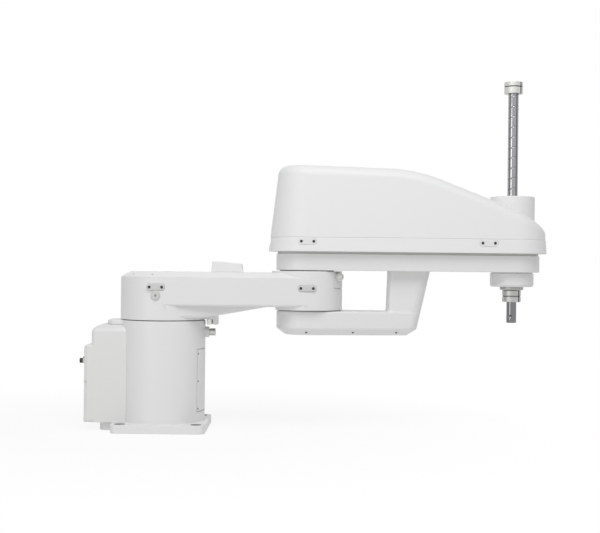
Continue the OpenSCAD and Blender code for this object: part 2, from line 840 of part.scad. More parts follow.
function duct_ring(z, inset) =
  blunt_ring(duct_end(z) - duct_corner_r, duct_r - inset, duct_corner_r - inset, duct_spread, z);

// Cast duct that carries the cables under the elbow
module duct_casting() {
  color(white) at_elbow() loft([duct_ring(duct_z, 0), duct_ring(duct_top, 0)]);
}

// Riser from the duct up to the arm casting
module duct_riser() {
  near_top = riser_start + (casting_z - duct_top) * tan(riser_lean);
  color(white) at_elbow() loft([
    box_ring(riser_start, duct_reach, riser_w, riser_near_r, duct_corner_r, duct_top),
    box_ring(near_top, duct_end(casting_z), riser_w, riser_near_r, duct_corner_r, casting_z)
  ]);
}

module duct_bottom_cover() {
  color(moulded) at_elbow()
    loft([duct_ring(duct_z - duct_cover_h, duct_bevel), duct_ring(duct_z, 0)]);
}

// Housing of the spline nut under the end of the arm
module nut_housing() {
  color(white) at_spindle() difference() {
    union() {
      translate([0, 0, boss_z])
        cylinder(r1 = boss_r - boss_bevel / 2, r2 = boss_r, h = boss_bevel, $fn = round_fn);
      translate([0, 0, boss_z + boss_bevel])
        cylinder(r = boss_r, h = boss_h - boss_bevel, $fn = round_fn);
    }
    translate([0, 0, boss_z - over])
      cylinder(r = nut_r + run_gap, h = boss_h + 2 * over, $fn = round_fn);
  }
}

// Spline nut: flange under the housing and a body up through the arm
module spline_nut() {
  z = boss_z - run_gap - flange_h;
  color(steel) at_spindle() difference() {
    union() {
      translate([0, 0, z])
        cylinder(r1 = flange_r - flange_bevel, r2 = flange_r, h = flange_bevel, $fn = round_fn);
      translate([0, 0, z + flange_bevel])
        cylinder(r = flange_r, h = flange_h - flange_bevel, $fn = round_fn);
      translate([0, 0, z]) cylinder(r = nut_r, h = cover_z - z - run_gap, $fn = round_fn);
    }
    translate([0, 0, z - over])
      cylinder(r = shaft_r + shaft_fit, h = cover_z - z + over, $fn = round_fn);
  }
}

// Ground shaft with straight ball grooves between the two collars, and a plain
// journal below them for the tool
module spindle_shaft() {
  z = lower_collar_top;
  r = (groove_w * groove_w / 4 + groove_depth * groove_depth) / (2 * groove_depth);
  color(steel) at_spindle() difference() {
    union() {
      translate([0, 0, shaft_z]) cylinder(d1 = journal_d - 2 * journal_bevel, d2 = journal_d,
        h = journal_bevel, $fn = round_fn);
      translate([0, 0, shaft_z + journal_bevel]) cylinder(d = journal_d,
        h = lower_collar_z - shaft_z - journal_bevel, $fn = round_fn);
      translate([0, 0, lower_collar_z])
        cylinder(r = shaft_r, h = shaft_top - lower_collar_z, $fn = round_fn);
    }
    for (i = [0 : spline_n - 1]) rotate([0, 0, 360 / spline_n * i])
      translate([shaft_r - groove_depth + r, 0, z])
        cylinder(r = r, h = upper_collar_z - z, $fn = round_fn);
  }
}

// Clamp collar on the shaft, with a turned groove at a height and a saw cut that
// faces the direction given
module collar(h, groove_rise, slit_turn) {
  difference() {
    cylinder(d = collar_d, h = h, $fn = round_fn);
    translate([0, 0, -over]) cylinder(r = collar_bore_r, h = h + 2 * over, $fn = round_fn);
    translate([0, 0, groove_rise]) difference() {
      cylinder(d = collar_d + 2 * over, h = collar_groove_w, $fn = round_fn);
      translate([0, 0, -over]) cylinder(d = collar_d - 2 * collar_groove_depth,
        h = collar_groove_w + 2 * over, $fn = round_fn);
    }
    rotate([0, 0, slit_turn]) translate([0, -clamp_slit / 2, -over])
      cube([collar_d, clamp_slit, h + 2 * over]);
  }
}

module upper_collar() {
  color(satin) at_spindle() translate([0, 0, upper_collar_z])
    collar(upper_collar_h, upper_groove_rise, upper_slit_turn);
}

module lower_collar() {
  color(satin) at_spindle() translate([0, 0, lower_collar_z])
    collar(lower_collar_h, lower_groove_rise, lower_slit_turn);
}

base_casting();
connector_housing();
connector_panel();
air_fittings();
cable_ports();
access_panel();
shoulder_stop_bolt();
shoulder_bearing();
inner_arm_casting();
inner_arm_lid();
shoulder_stop_block();
elbow_stop_block();
elbow_stop_plate();
elbow_bumper();
shoulder_fixings();
elbow_fixings();
elbow_upper_bearing();
elbow_lower_bearing();
outer_arm_casting();
outer_arm_cover();
cover_fixings();
cover_rear_fixing();
duct_casting();
duct_riser();
duct_bottom_cover();
nut_housing();
spline_nut();
spindle_shaft();
upper_collar();
lower_collar();
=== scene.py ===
import math

import bmesh
import bpy
from mathutils import Matrix, Vector


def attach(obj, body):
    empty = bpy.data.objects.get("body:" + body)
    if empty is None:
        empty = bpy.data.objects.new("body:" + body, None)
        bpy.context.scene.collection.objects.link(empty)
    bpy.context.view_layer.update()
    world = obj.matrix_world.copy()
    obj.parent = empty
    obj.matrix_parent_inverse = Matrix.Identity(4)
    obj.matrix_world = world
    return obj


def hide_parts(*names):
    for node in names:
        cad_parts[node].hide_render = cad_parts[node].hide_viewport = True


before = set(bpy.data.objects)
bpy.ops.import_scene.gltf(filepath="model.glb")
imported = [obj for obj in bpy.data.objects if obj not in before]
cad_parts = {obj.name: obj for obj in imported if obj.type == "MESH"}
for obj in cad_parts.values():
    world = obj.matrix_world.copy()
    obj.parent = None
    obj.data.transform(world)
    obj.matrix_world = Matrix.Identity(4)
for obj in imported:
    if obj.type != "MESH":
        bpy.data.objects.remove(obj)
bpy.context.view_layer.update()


# The view. The photograph looks level at the middle of the two arms and square to them, from
# about 2.8 m away, with the camera tipped about half a degree.
MM = 0.001
VIEW_FROM = Vector((332.6, -2800, 397)) * MM
VIEW_ROLL = math.radians(0.6)
SENSOR_WIDTH = 36
FOCAL_LENGTH = 68.75

camera_data = bpy.data.cameras.new("view")
camera_data.sensor_width = SENSOR_WIDTH
camera_data.lens = FOCAL_LENGTH
camera = bpy.data.objects.new("view", camera_data)
camera.matrix_world = (
    Matrix.Translation(VIEW_FROM)
    @ Matrix.Rotation(math.radians(90), 4, "X")
    @ Matrix.Rotation(VIEW_ROLL, 4, "Z")
)
scene = bpy.context.scene
scene.collection.objects.link(camera)
scene.camera = camera
scene.view_settings.view_transform = "Standard"


# The studio. A pale floor under a white sweep, lit by a broad soft box over the camera, a small
# one at the left and the white room all round. A bright card at the left only shows in what shines.
# The eye sees the sweep as plain white, and the floor keeps a faint shadow close to the foot.
FLOOR_SIDE = 14
FLOOR_HEX = "#F7F7F5"
SHADOW_SHARE = 0.12
SHADOW_NEAR = 0.35
SHADOW_FAR = 1.0
ROOM_HEX = "#F6F7FA"
ROOM_STRENGTH = 0.46
SOFT_BOXES = (
    # name, place, width and height in metres, power in watts, and whether it lights dull surfaces
    ("soft_box_over_camera", (0.35, -1.9, 2.8), 1.8, 1.8, 45, True),
    ("soft_box_at_the_left", (-1.2, -2.05, 0.55), 0.45, 1.3, 3.4, True),
    ("bright_card_at_the_left", (-1.25, -2.1, 0.55), 0.9, 1.3, 6, False),
)
LIT_POINT = Vector((350, 0, 380)) * MM


def linear(hex_colour):
    """An sRGB hex colour as linear red, green, blue and alpha."""
    parts = [int(hex_colour[i : i + 2], 16) / 255 for i in (1, 3, 5)]
    return [p / 12.92 if p <= 0.04045 else ((p + 0.055) / 1.055) ** 2.4 for p in parts] + [1]


def add(tree, kind, inputs, **settings):
    """Adds a node with its settings, and gives its inputs values or links to other nodes."""
    new = tree.nodes.new(kind)
    for name, value in settings.items():
        setattr(new, name, value)
    for name, value in inputs.items():
        if isinstance(value, bpy.types.NodeSocket):
            tree.links.new(value, new.inputs[name])
        else:
            new.inputs[name].default_value = value
    return new


def seen_directly(tree):
    """1 on rays from the eye, also by way of metal or glass, and 0 on light that spreads."""
    path = add(tree, "ShaderNodeLightPath", {})
    seen = path.outputs["Is Camera Ray"]
    for way in ("Is Glossy Ray", "Is Transmission Ray"):
        either = add(tree, "ShaderNodeMath", {0: seen, 1: path.outputs[way]}, operation="MAXIMUM")
        seen = either.outputs[0]
    return seen


room = bpy.data.worlds.new("white_room")
room.use_nodes = True
scene.world = room
tree = room.node_tree
tree.nodes.clear()
spread = add(tree, "ShaderNodeBackground", {"Color": linear(ROOM_HEX), "Strength": ROOM_STRENGTH})
sweep = add(tree, "ShaderNodeBackground", {"Color": (1, 1, 1, 1), "Strength": 1})
mixed = add(
    tree,
    "ShaderNodeMixShader",
    {0: seen_directly(tree), 1: spread.outputs[0], 2: sweep.outputs[0]},
)
add(tree, "ShaderNodeOutputWorld", {"Surface": mixed.outputs[0]})

floor_look = bpy.data.materials.new("pale_floor")
floor_look.use_nodes = True
tree = floor_look.node_tree
tree.nodes.clear()
paint = add(tree, "ShaderNodeBsdfDiffuse", {"Color": linear(FLOOR_HEX)})
white = add(tree, "ShaderNodeEmission", {"Color": (1, 1, 1, 1), "Strength": 1})
place = add(tree, "ShaderNodeTexCoord", {})
reach = add(tree, "ShaderNodeVectorMath", {0: place.outputs["Object"]}, operation="LENGTH")
fade = add(
    tree,
    "ShaderNodeMapRange",
    {
        "Value": reach.outputs["Value"],
        "From Min": SHADOW_NEAR,
        "From Max": SHADOW_FAR,
        "To Min": 1 - SHADOW_SHARE,
        "To Max": 1,
    },
)
share = add(
    tree,
    "ShaderNodeMath",
    {0: seen_directly(tree), 1: fade.outputs["Result"]},
    operation="MULTIPLY",
)
mixed = add(
    tree, "ShaderNodeMixShader", {0: share.outputs[0], 1: paint.outputs[0], 2: white.outputs[0]}
)
add(tree, "ShaderNodeOutputMaterial", {"Surface": mixed.outputs[0]})

floor_mesh = bpy.data.meshes.new("floor")
half = FLOOR_SIDE / 2
floor_mesh.from_pydata(
    [(-half, -half, 0), (half, -half, 0), (half, half, 0), (-half, half, 0)], [], [(0, 1, 2, 3)]
)
floor_mesh.materials.append(floor_look)
floor = bpy.data.objects.new("floor", floor_mesh)
scene.collection.objects.link(floor)

for name, spot, width, height, power, lights_dull in SOFT_BOXES:
    lamp_data = bpy.data.lights.new(name, "AREA")
    lamp_data.shape = "RECTANGLE"
    lamp_data.size = width
    lamp_data.size_y = height
    lamp_data.energy = power
    lamp = bpy.data.objects.new(name, lamp_data)
    lamp.location = spot
    lamp.rotation_euler = (LIT_POINT - Vector(spot)).to_track_quat("-Z", "Y").to_euler()
    lamp.visible_diffuse = lights_dull
    scene.collection.objects.link(lamp)


# Base casting. One aluminium casting: a square foot with four anchor bolt seats, a round
# column, a rear shelf and the boss of the stop bolt. Machined below and on top, then coated
# with white powder, which rounds every edge a little.
COLUMN_R = 103
COLUMN_FILLET = 1.9
BASE_TOP = 264
FOOT_W = 224
FOOT_T = 20
FOOT_CORNER = 16
FOOT_LOWER_ROUND = 1
FOOT_UPPER_ROUND = 1.5
TAB_REACH = 145
TAB_W = 108
SHELF_REACH = 131
SHELF_W = 90
SHELF_T = 10.7
SHELF_CORNER = 24
STOP_Z = 235
STOP_BOSS_R = 13
STOP_BOSS_END = 113
BOLT_PITCH = 180
BOLT_HOLE_R = 6.75
BOLT_SEAT_R = 13.5
BOLT_SEAT_DEPTH = 4
LINING_GAP = 0.1
LINING_T = 0.4
LINING_SETBACK = 0.3
PANEL_SPAN = 60
PANEL_LOW = 47
PANEL_HIGH = 195
PANEL_T = 3
PANEL_GAP = 2
PANEL_BACK_GAP = 0.5
CAST_ROUND = 2
ROUND_STEPS = 48
CORNER_STEPS = 10
COAT_HEX = "#EAEAE9"
SEAT_METAL_AND_SHADE_HEX = "#A0A09E"
# Faces of fused solids keep clear of each other by a hair, pieces that touch stay a little
# apart, and a solid that cuts runs past the surface.
HAIR = 0.01
APART = 0.05
PAST = 5
OUT_ALONG_X = Matrix.Rotation(math.radians(90), 4, "Y")


def arc(x, y, radius, start, end, steps):
    """Points of an arc in plan, its angles in degrees."""
    turns = [math.radians(start + (end - start) * i / steps) for i in range(steps + 1)]
    return [(x + radius * math.cos(t), y + radius * math.sin(t)) for t in turns]


def box_plan(x0, x1, width, corner):
    """Plan of a box with round corners, drawn in by an inset."""

    def ring(inset, z):
        r = max(corner - inset, 0.3)
        left, right = x0 + inset + r, x1 - inset - r
        side = width / 2 - inset - r
        return (
            arc(left, -side, r, 180, 270, CORNER_STEPS)
            + arc(right, -side, r, 270, 360, CORNER_STEPS)
            + arc(right, side, r, 0, 90, CORNER_STEPS)
            + arc(left, side, r, 90, 180, CORNER_STEPS)
        )

    return ring


def turned_plan(x=0, y=0):
    """Plan of a turned piece, whose profile gives radii in place of insets."""
    return lambda radius, z: arc(x, y, radius, 0, 360, 2 * ROUND_STEPS)[:-1]


def sector_plan(r0, r1, span):
    """Plan of a curved plate about the origin, centred on +X and drawn in by an inset."""

    def ring(inset, z):
        turn = span / 2 - math.degrees(inset / r1)
        outside = arc(0, 0, r1 - inset, -turn, turn, ROUND_STEPS)
        inside = arc(0, 0, r0 + inset, turn, -turn, ROUND_STEPS)
        return outside + inside

    return ring


def rounded(corners, steps):
    """Profile through corners (inset, height), each rounded where a radius follows these."""
    line = []
    for i, (u, v, *rounding) in enumerate(corners):
        radius = sum(rounding)
        if radius == 0:
            line.append((u, v))
            continue
        corner = Vector((u, v))
        back = (Vector(corners[i - 1][:2]) - corner).normalized()
        on = (Vector(corners[i + 1][:2]) - corner).normalized()
        half_turn = back.angle(on) / 2
        middle = corner + (back + on).normalized() * radius / math.sin(half_turn)
        start = corner + back * radius / math.tan(half_turn) - middle
        sweep_turn = start.angle_signed(corner + on * radius / math.tan(half_turn) - middle)
        for k in range(steps + 1):
            point = middle + Matrix.Rotation(-sweep_turn * k / steps, 2) @ start
            line.append((point.x, point.y))
    return line


def slab(low, low_round, high, high_round, deep):
    """Profile of a slab between two heights with rounded edges, whose flat ends start at a depth
    inside its outline."""
    return [(deep, low), (0, low, low_round), (0, high, high_round), (deep, high)]


def new_piece(name, mesh):
    """An object of a finished bmesh, in the scene."""
    data = bpy.data.meshes.new(name)
    mesh.to_mesh(data)
    mesh.free()
    piece = bpy.data.objects.new(name, data)
    scene.collection.objects.link(piece)
    return piece


def skin(name, rings, strips=False):
    """A closed solid through rings of points in millimetres, lowest first. The top is one
    face, or strips across it where the rings start at one end and are the same both sides."""
    mesh = bmesh.new()
    rows = [[mesh.verts.new(Vector(p) * MM) for p in ring] for ring in rings]
    count = len(rows[0])
    for low, high in zip(rows, rows[1:]):
        for i in range(count):
            on = (i + 1) % count
            mesh.faces.new((low[i], low[on], high[on], high[i]))
    mesh.faces.new(reversed(rows[0]))
    top = rows[-1]
    if strips:
        for i in range(count // 2):
            corners = (top[i], top[i + 1], top[-i - 1], top[-i])
            mesh.faces.new(dict.fromkeys(corners))
    else:
        mesh.faces.new(top)
    return new_piece(name, mesh)


def stack(name, plan, profile, steps=5):
    """A closed solid of a plan drawn in or out along a profile, in steps round its corners."""
    line = rounded(profile, steps)
    return skin(name, [[(x, y, z) for x, y in plan(inset, z)] for inset, z in line])


def bore(x, radius, low, high):
    """A round solid that cuts all the way through what lies between two heights."""
    return stack("bore", turned_plan(x), [(radius, low - PAST), (radius, high + PAST)])


def stepped_hole(spot, seat, seat_r):
    """A solid that cuts an anchor bolt's hole, opened out above its seat."""
    profile = [(BOLT_HOLE_R, -PAST), (BOLT_HOLE_R, seat), (seat_r, seat), (seat_r, FOOT_T + PAST)]
    return stack("hole", turned_plan(*spot), profile)


def bake(piece):
    """Turns what the modifiers make into the piece's own plain mesh."""
    graph = bpy.context.evaluated_depsgraph_get()
    data = bpy.data.meshes.new_from_object(piece.evaluated_get(graph))
    piece.modifiers.clear()
    piece.data = data


def join(piece, others, operation="UNION"):
    """Fuses other solids with a piece, or cuts them out of it, and removes them."""
    for other in others:
        change = piece.modifiers.new("join", "BOOLEAN")
        change.operation = operation
        change.solver = "MANIFOLD"
        change.object = other
    bake(piece)
    for other in others:
        bpy.data.objects.remove(other)


def cut(piece, others):
    """Cuts other solids out of a piece."""
    join(piece, others, "DIFFERENCE")


def fit(piece, body, slot, look, *nodes, crease=32):
    """Shades a finished piece, gives it its look unless it has its own, and sets it on its body."""
    data = piece.data
    data.shade_smooth()
    data.set_sharp_from_angle(angle=math.radians(crease))
    even = piece.modifiers.new("even", "WEIGHTED_NORMAL")
    even.keep_sharp = True
    bake(piece)
    if look:
        piece.data.materials.clear()
        piece.data.materials.append(look)
    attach(piece, body)
    if nodes:
        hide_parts(*nodes)


def mottled(name, colour, spacing, roughness, metallic=0, ior=1.5, detail=2, height=0):
    """A material whose roughness drifts between two values over spots of a spacing, and whose
    surface rises and falls with them by a height, both in millimetres."""
    look = bpy.data.materials.new(name)
    look.use_nodes = True
    tree = look.node_tree
    surface = tree.nodes["Principled BSDF"]
    surface.inputs["Base Color"].default_value = linear(colour)
    surface.inputs["Metallic"].default_value = metallic
    surface.inputs["IOR"].default_value = ior
    place = add(tree, "ShaderNodeTexCoord", {})
    spots = add(
        tree,
        "ShaderNodeTexNoise",
        {"Vector": place.outputs["Object"], "Scale": 1 / (spacing * MM), "Detail": detail},
    )
    least, most = roughness
    gloss = add(
        tree, "ShaderNodeMapRange", {"Value": spots.outputs["Fac"], "To Min": least, "To Max": most}
    )
    tree.links.new(gloss.outputs["Result"], surface.inputs["Roughness"])
    if height:
        relief = add(
            tree,
            "ShaderNodeBump",
            {"Height": spots.outputs["Fac"], "Distance": height * MM, "Strength": 0.5},
        )
        tree.links.new(relief.outputs["Normal"], surface.inputs["Normal"])
    return look


# Powder coat on cast aluminium: an even satin white, with the faint ripple that the powder
# keeps from flowing out in the oven.
coat = mottled(
    "powder_coated_aluminium", COAT_HEX, spacing=2.4, roughness=(0.38, 0.5), height=0.02
)

# Bare machined aluminium in the bolt seats: a dull grey, partly painted shade, with the swirl of
# the cutter.
seat_metal_and_shade = mottled(
    "machined_aluminium_and_painted_shade", SEAT_METAL_AND_SHADE_HEX, spacing=2, roughness=(0.4, 0.6), metallic=1
)

base = stack(
    "base",
    box_plan(-FOOT_W / 2, FOOT_W / 2, FOOT_W, FOOT_CORNER),
    slab(0, FOOT_LOWER_ROUND, FOOT_T, FOOT_UPPER_ROUND, 30),
)
tab = stack(
    "tab",
    box_plan(-TAB_REACH, 0, TAB_W, FOOT_CORNER),
    slab(HAIR, FOOT_LOWER_ROUND, FOOT_T - HAIR, FOOT_UPPER_ROUND, 20),
)
column = stack(
    "column",
    turned_plan(),
    [
        (COLUMN_R - 20, FOOT_T / 2),
        (COLUMN_R + 2, FOOT_T - 0.2),
        (COLUMN_R, FOOT_T, COLUMN_FILLET),
        (COLUMN_R, BASE_TOP, CAST_ROUND),
        (COLUMN_R - 20, BASE_TOP),
    ],
)
shelf = stack(
    "shelf",
    box_plan(-SHELF_REACH, 0, SHELF_W, SHELF_CORNER),
    slab(BASE_TOP - SHELF_T, CAST_ROUND, BASE_TOP - HAIR, CAST_ROUND, 15),
)
boss = stack(
    "boss",
    turned_plan(),
    [
        (STOP_BOSS_R, COLUMN_R - 20),
        (STOP_BOSS_R, STOP_BOSS_END, CAST_ROUND),
        (STOP_BOSS_R / 2, STOP_BOSS_END),
    ],
)
boss.data.transform(Matrix.Translation((0, 0, STOP_Z * MM)) @ OUT_ALONG_X)
join(base, [tab, column, shelf, boss])
bolt_spots = [(x * BOLT_PITCH / 2, y * BOLT_PITCH / 2) for x in (-1, 1) for y in (-1, 1)]
seat_z = FOOT_T - BOLT_SEAT_DEPTH
gap_turn = math.degrees(PANEL_GAP / COLUMN_R)
panel_seat = stack(
    "panel_seat",
    sector_plan(COLUMN_R - PANEL_T - PANEL_BACK_GAP, COLUMN_R + PAST, PANEL_SPAN + 2 * gap_turn),
    [(0, PANEL_LOW - PANEL_GAP), (0, PANEL_HIGH + PANEL_GAP)],
)
cut(base, [stepped_hole(spot, seat_z, BOLT_SEAT_R) for spot in bolt_spots] + [panel_seat])
fit(base, "base", "coated_casting", coat, "base_casting")

# A thin lining in each bolt seat, its darker grey partly painted shade inside the seat.
lining_r = BOLT_SEAT_R - LINING_GAP
linings = []
for spot in bolt_spots:
    lining_profile = [(lining_r, seat_z + APART), (lining_r, FOOT_T - LINING_SETBACK)]
    lining = stack("seat", turned_plan(*spot), lining_profile)
    cut(lining, [stepped_hole(spot, seat_z + LINING_T, lining_r - LINING_T)])
    linings.append(lining)
linings[0].name = "bolt_seats"
join(linings[0], linings[1:])
fit(linings[0], "base", "turned_aluminium", seat_metal_and_shade)


# Connector housing. A moulded box with a sloped top that closes on the back of the column and
# stands on the foot, held by screws from inside. Injection-moulded ABS with a fine
# spark-eroded grain, a shade greyer than the other covers.
HOUSING_BACK = -164
HOUSING_W = 132
HOUSING_CORNER = 10
HOUSING_TOP = 253
HOUSING_SLOPE = 18
HOUSING_SLOPE_H = 10
HOUSING_SIDE_ROUND = 14
HOUSING_TOP_ROUND = 16
SEAM = 0.3
MOULDED_HEX = "#EFEFEE"
HOUSING_HEX = "#E6E6E4"


def tinted(look, name, colour):
    """A copy of a material in another colour."""
    other = look.copy()
    other.name = name
    other.node_tree.nodes["Principled BSDF"].inputs["Base Color"].default_value = linear(colour)
    return other


# Moulded ABS: a clean, slightly warmer white, dull because the mould's eroded grain spreads
# the light. The grain is drawn about three times as coarse as it is, so that it shows.
moulded = mottled(
    "grained_abs_moulding",
    MOULDED_HEX,
    spacing=1.1,
    roughness=(0.44, 0.6),
    ior=1.52,
    detail=3,
    height=0.015,
)
housing_look = tinted(moulded, "greyer_abs_moulding", HOUSING_HEX)


def housing_plan(inset, z):
    """Plan of the housing, drawn in by an inset at its back and sides with the same corners."""
    return box_plan(HOUSING_BACK + inset, 0, HOUSING_W - 2 * inset, HOUSING_CORNER)(0, z)


housing = stack(
    "housing",
    housing_plan,
    [
        (30, FOOT_T),
        (0, FOOT_T, 1),
        (0, HOUSING_TOP - HOUSING_SLOPE_H, HOUSING_SIDE_ROUND),
        (HOUSING_SLOPE, HOUSING_TOP, HOUSING_TOP_ROUND),
        (40, HOUSING_TOP),
    ],
)
cut(housing, [bore(0, COLUMN_R + SEAM, FOOT_T, HOUSING_TOP)])
fit(housing, "base", "moulded_cover", housing_look, "connector_housing")


# Connector panel. A raised moulded panel on the housing's back, where the cables and the air
# plug in. It carries two push-in air fittings and two blanking caps over spare cable ports, and
# plated screws hold it round its edge.
CONNECTOR_DEPTH = 17
CONNECTOR_W = 131.6
CONNECTOR_H = 186
CONNECTOR_CORNER = 6
CONNECTOR_SLOPE = 8
CONNECTOR_ROUND = 3
CONNECTOR_SCREW_INSET = 12
CONNECTOR_SCREW_PROUD = 0.2
CONNECTOR_SCREWS_Z = (32, 127, 190)
SLOPE_SCREW_Z = 117
SLOPE_SCREW_R = 4
FITTING_Z = 164
FITTING_PITCH = 44
FITTING_HEX_R = 7
FITTING_FACE_R = 6.3
FITTING_CHAMFER = 0.6
FITTING_HEX_L = 10
FITTING_RING_R = 6
FITTING_RING_FOOT = 11
FITTING_BORE_R = 3
FITTING_L = 17.5
PORT_Z = 58
PORT_PITCH = 50
PORT_R = 18
PORT_H = 4
NICKEL_HEX = "#B9B6AE"
BLACK_HEX = "#242426"
CONNECTOR_BACK = HOUSING_BACK - CONNECTOR_DEPTH
OUT_BEHIND = Matrix.Rotation(math.radians(-90), 4, "Y")
SCREW_RADIUS = 3.4
SMALL_SCREW_R = 2.8
screws = {}


def screw(body, finish, spot, facing, radius=SCREW_RADIUS):
    """Notes a socket screw for later: where its head seats, which way it faces, its size."""
    noted = screws.setdefault((body, finish), [])
    noted.append((Vector(spot) * MM, Vector(facing), radius * MM))


def upward(low, high, width, corner):
    """Plan of the panel with its height along X: only its top edge and sides draw in."""
    return lambda inset, z: box_plan(low - inset, high, width, corner)(inset, z)


panel = stack(
    "connector_plate",
    upward(FOOT_T, FOOT_T + CONNECTOR_H, CONNECTOR_W, CONNECTOR_CORNER),
    [
        (0, -HOUSING_BACK - HOUSING_CORNER - 2),
        (0, -CONNECTOR_BACK - CONNECTOR_SLOPE, CONNECTOR_ROUND),
        (CONNECTOR_SLOPE / 2, -CONNECTOR_BACK, CONNECTOR_ROUND),
        (20, -CONNECTOR_BACK),
    ],
)
panel.data.transform(OUT_BEHIND)
fit(panel, "base", "moulded_cover", housing_look, "connector_panel")
for side in (-1, 1):
    screw_y = side * (CONNECTOR_W / 2 - CONNECTOR_SCREW_INSET)
    for z in CONNECTOR_SCREWS_Z:
        spot = (CONNECTOR_BACK - CONNECTOR_SCREW_PROUD, screw_y, z)
        screw("base", "plated", spot, (-1, 0, 0), SMALL_SCREW_R)
    slope_y = side * (CONNECTOR_W - CONNECTOR_SLOPE / 2) / 2
    spot = (CONNECTOR_BACK + CONNECTOR_SLOPE / 2, slope_y, SLOPE_SCREW_Z)
    screw("base", "plated", spot, (-1, 2 * side, 0), SLOPE_SCREW_R)

# Nickel-plated brass: a warm pale metal, machined and bright.
nickel = mottled("nickel_plated_brass", NICKEL_HEX, spacing=3, roughness=(0.22, 0.4), metallic=1)

# Moulded black acetal: near black, with a soft sheen.
acetal = mottled("black_acetal", BLACK_HEX, spacing=2, roughness=(0.35, 0.5))


def pair_on_panel(name, plan, profile, pitch, height):
    """Two like pieces side by side on the connector panel's back, made upright, as one piece."""
    pair = []
    for side in (-1, 1):
        piece = stack(name, plan, profile)
        spot = Vector((CONNECTOR_BACK, side * pitch / 2, height)) * MM
        piece.data.transform(Matrix.Translation(spot) @ OUT_BEHIND)
        pair.append(piece)
    join(pair[0], pair[1:])
    return pair[0]


def hexagon(radius, z):
    """Plan of a hexagon, whose profile gives the radius to its corners."""
    return arc(0, 0, radius, 0, 360, 6)[:-1]


nuts = pair_on_panel(
    "fitting",
    hexagon,
    [
        (FITTING_FACE_R, 0),
        (FITTING_HEX_R, FITTING_CHAMFER),
        (FITTING_HEX_R, FITTING_HEX_L - FITTING_CHAMFER),
        (FITTING_FACE_R, FITTING_HEX_L),
    ],
    FITTING_PITCH,
    FITTING_Z,
)
release_rings = pair_on_panel(
    "release_ring",
    turned_plan(),
    [
        (FITTING_RING_R - 1, FITTING_HEX_L),
        (FITTING_RING_R - 1, FITTING_RING_FOOT),
        (FITTING_RING_R, FITTING_RING_FOOT, 0.3),
        (FITTING_RING_R, FITTING_L, 0.7),
        (FITTING_BORE_R, FITTING_L),
        (FITTING_BORE_R, FITTING_RING_FOOT),
    ],
    FITTING_PITCH,
    FITTING_Z,
)
caps = pair_on_panel(
    "port_cap",
    turned_plan(),
    [
        (PORT_R - 2, 0),
        (PORT_R, 0, 0.4),
        (PORT_R, PORT_H - 1, 1.2),
        (PORT_R - 6, PORT_H, 1),
        (PORT_R - 8, PORT_H - 0.8),
    ],
    PORT_PITCH,
    PORT_Z,
)
fit(nuts, "base", "zinc_steel", nickel, "air_fittings")
fit(release_rings, "base", "black_plastic", acetal)
fit(caps, "base", "turned_aluminium", nickel, "cable_ports")


# Access panel. A thin curved cover, flush with the column, over the wiring inside the base.
# Pressed and coated like the casting, and held by a row of screws down each edge.
PANEL_ROUND = 0.6
ACCESS_SCREW_R = 2
ACCESS_SCREW_SINK = 0.4
ACCESS_SCREW_TURN = PANEL_SPAN / 2 - 2
ACCESS_SCREWS_Z = (53, 119, 185)


def facing_out(turn):
    """The level direction at an angle in degrees."""
    return Vector((math.cos(math.radians(turn)), math.sin(math.radians(turn)), 0))


access = stack(
    "access_cover",
    sector_plan(COLUMN_R - PANEL_T, COLUMN_R, PANEL_SPAN),
    slab(PANEL_LOW, PANEL_ROUND, PANEL_HIGH, PANEL_ROUND, 2 * PANEL_ROUND),
    3,
)
fit(access, "base", "coated_casting", coat, "access_panel")
for turn in (-ACCESS_SCREW_TURN, ACCESS_SCREW_TURN):
    for z in ACCESS_SCREWS_Z:
        spot = facing_out(turn) * (COLUMN_R - ACCESS_SCREW_SINK)
        screw("base", "blackened", (spot.x, spot.y, z), facing_out(turn), ACCESS_SCREW_R)


# Shoulder stop. A zinc-plated bolt head on the column's boss, which the arm's lug runs up to,
# and the dark rubber seals in the three turning joints.
STOP_HEAD_R = 8.75
STOP_HEAD_END = 128
STOP_NECK_L = 2
STOP_NECK_R = STOP_HEAD_R - 1.2
STOP_SOCKET_R = 4.6
STOP_SOCKET_DEPTH = 6
ZINC_HEX = "#C9C9C6"
SEAL_HEX = "#77777A"

# Zinc plating: a light grey metal, passivated to a soft, slightly cloudy shine.
zinc = mottled("zinc_plated_steel", ZINC_HEX, spacing=4, roughness=(0.3, 0.5), metallic=1)

# Nitrile rubber: a matt dark grey, with a slight bloom.
rubber = mottled("nitrile_seal", SEAL_HEX, spacing=5, roughness=(0.6, 0.8))

stop_bolt = stack(
    "stop_bolt",
    turned_plan(),
    [
        (STOP_HEAD_R / 2, STOP_BOSS_END),
        (STOP_NECK_R, STOP_BOSS_END),
        (STOP_NECK_R, STOP_BOSS_END + STOP_NECK_L),
        (STOP_HEAD_R, STOP_BOSS_END + STOP_NECK_L, 0.4),
        (STOP_HEAD_R, STOP_HEAD_END, 1.2),
        (STOP_HEAD_R / 2, STOP_HEAD_END),
    ],
)
socket_foot = STOP_HEAD_END - STOP_SOCKET_DEPTH
socket_profile = [(STOP_SOCKET_R, socket_foot), (STOP_SOCKET_R, STOP_HEAD_END + PAST)]
cut(stop_bolt, [stack("socket", hexagon, socket_profile)])
stop_bolt.data.transform(Matrix.Translation((0, 0, STOP_Z * MM)) @ OUT_ALONG_X)
fit(stop_bolt, "base", "zinc_steel", zinc, "shoulder_stop_bolt")
for node in ("shoulder_bearing", "elbow_upper_bearing", "elbow_lower_bearing"):
    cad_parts[node].data.materials.clear()
    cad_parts[node].data.materials.append(rubber)


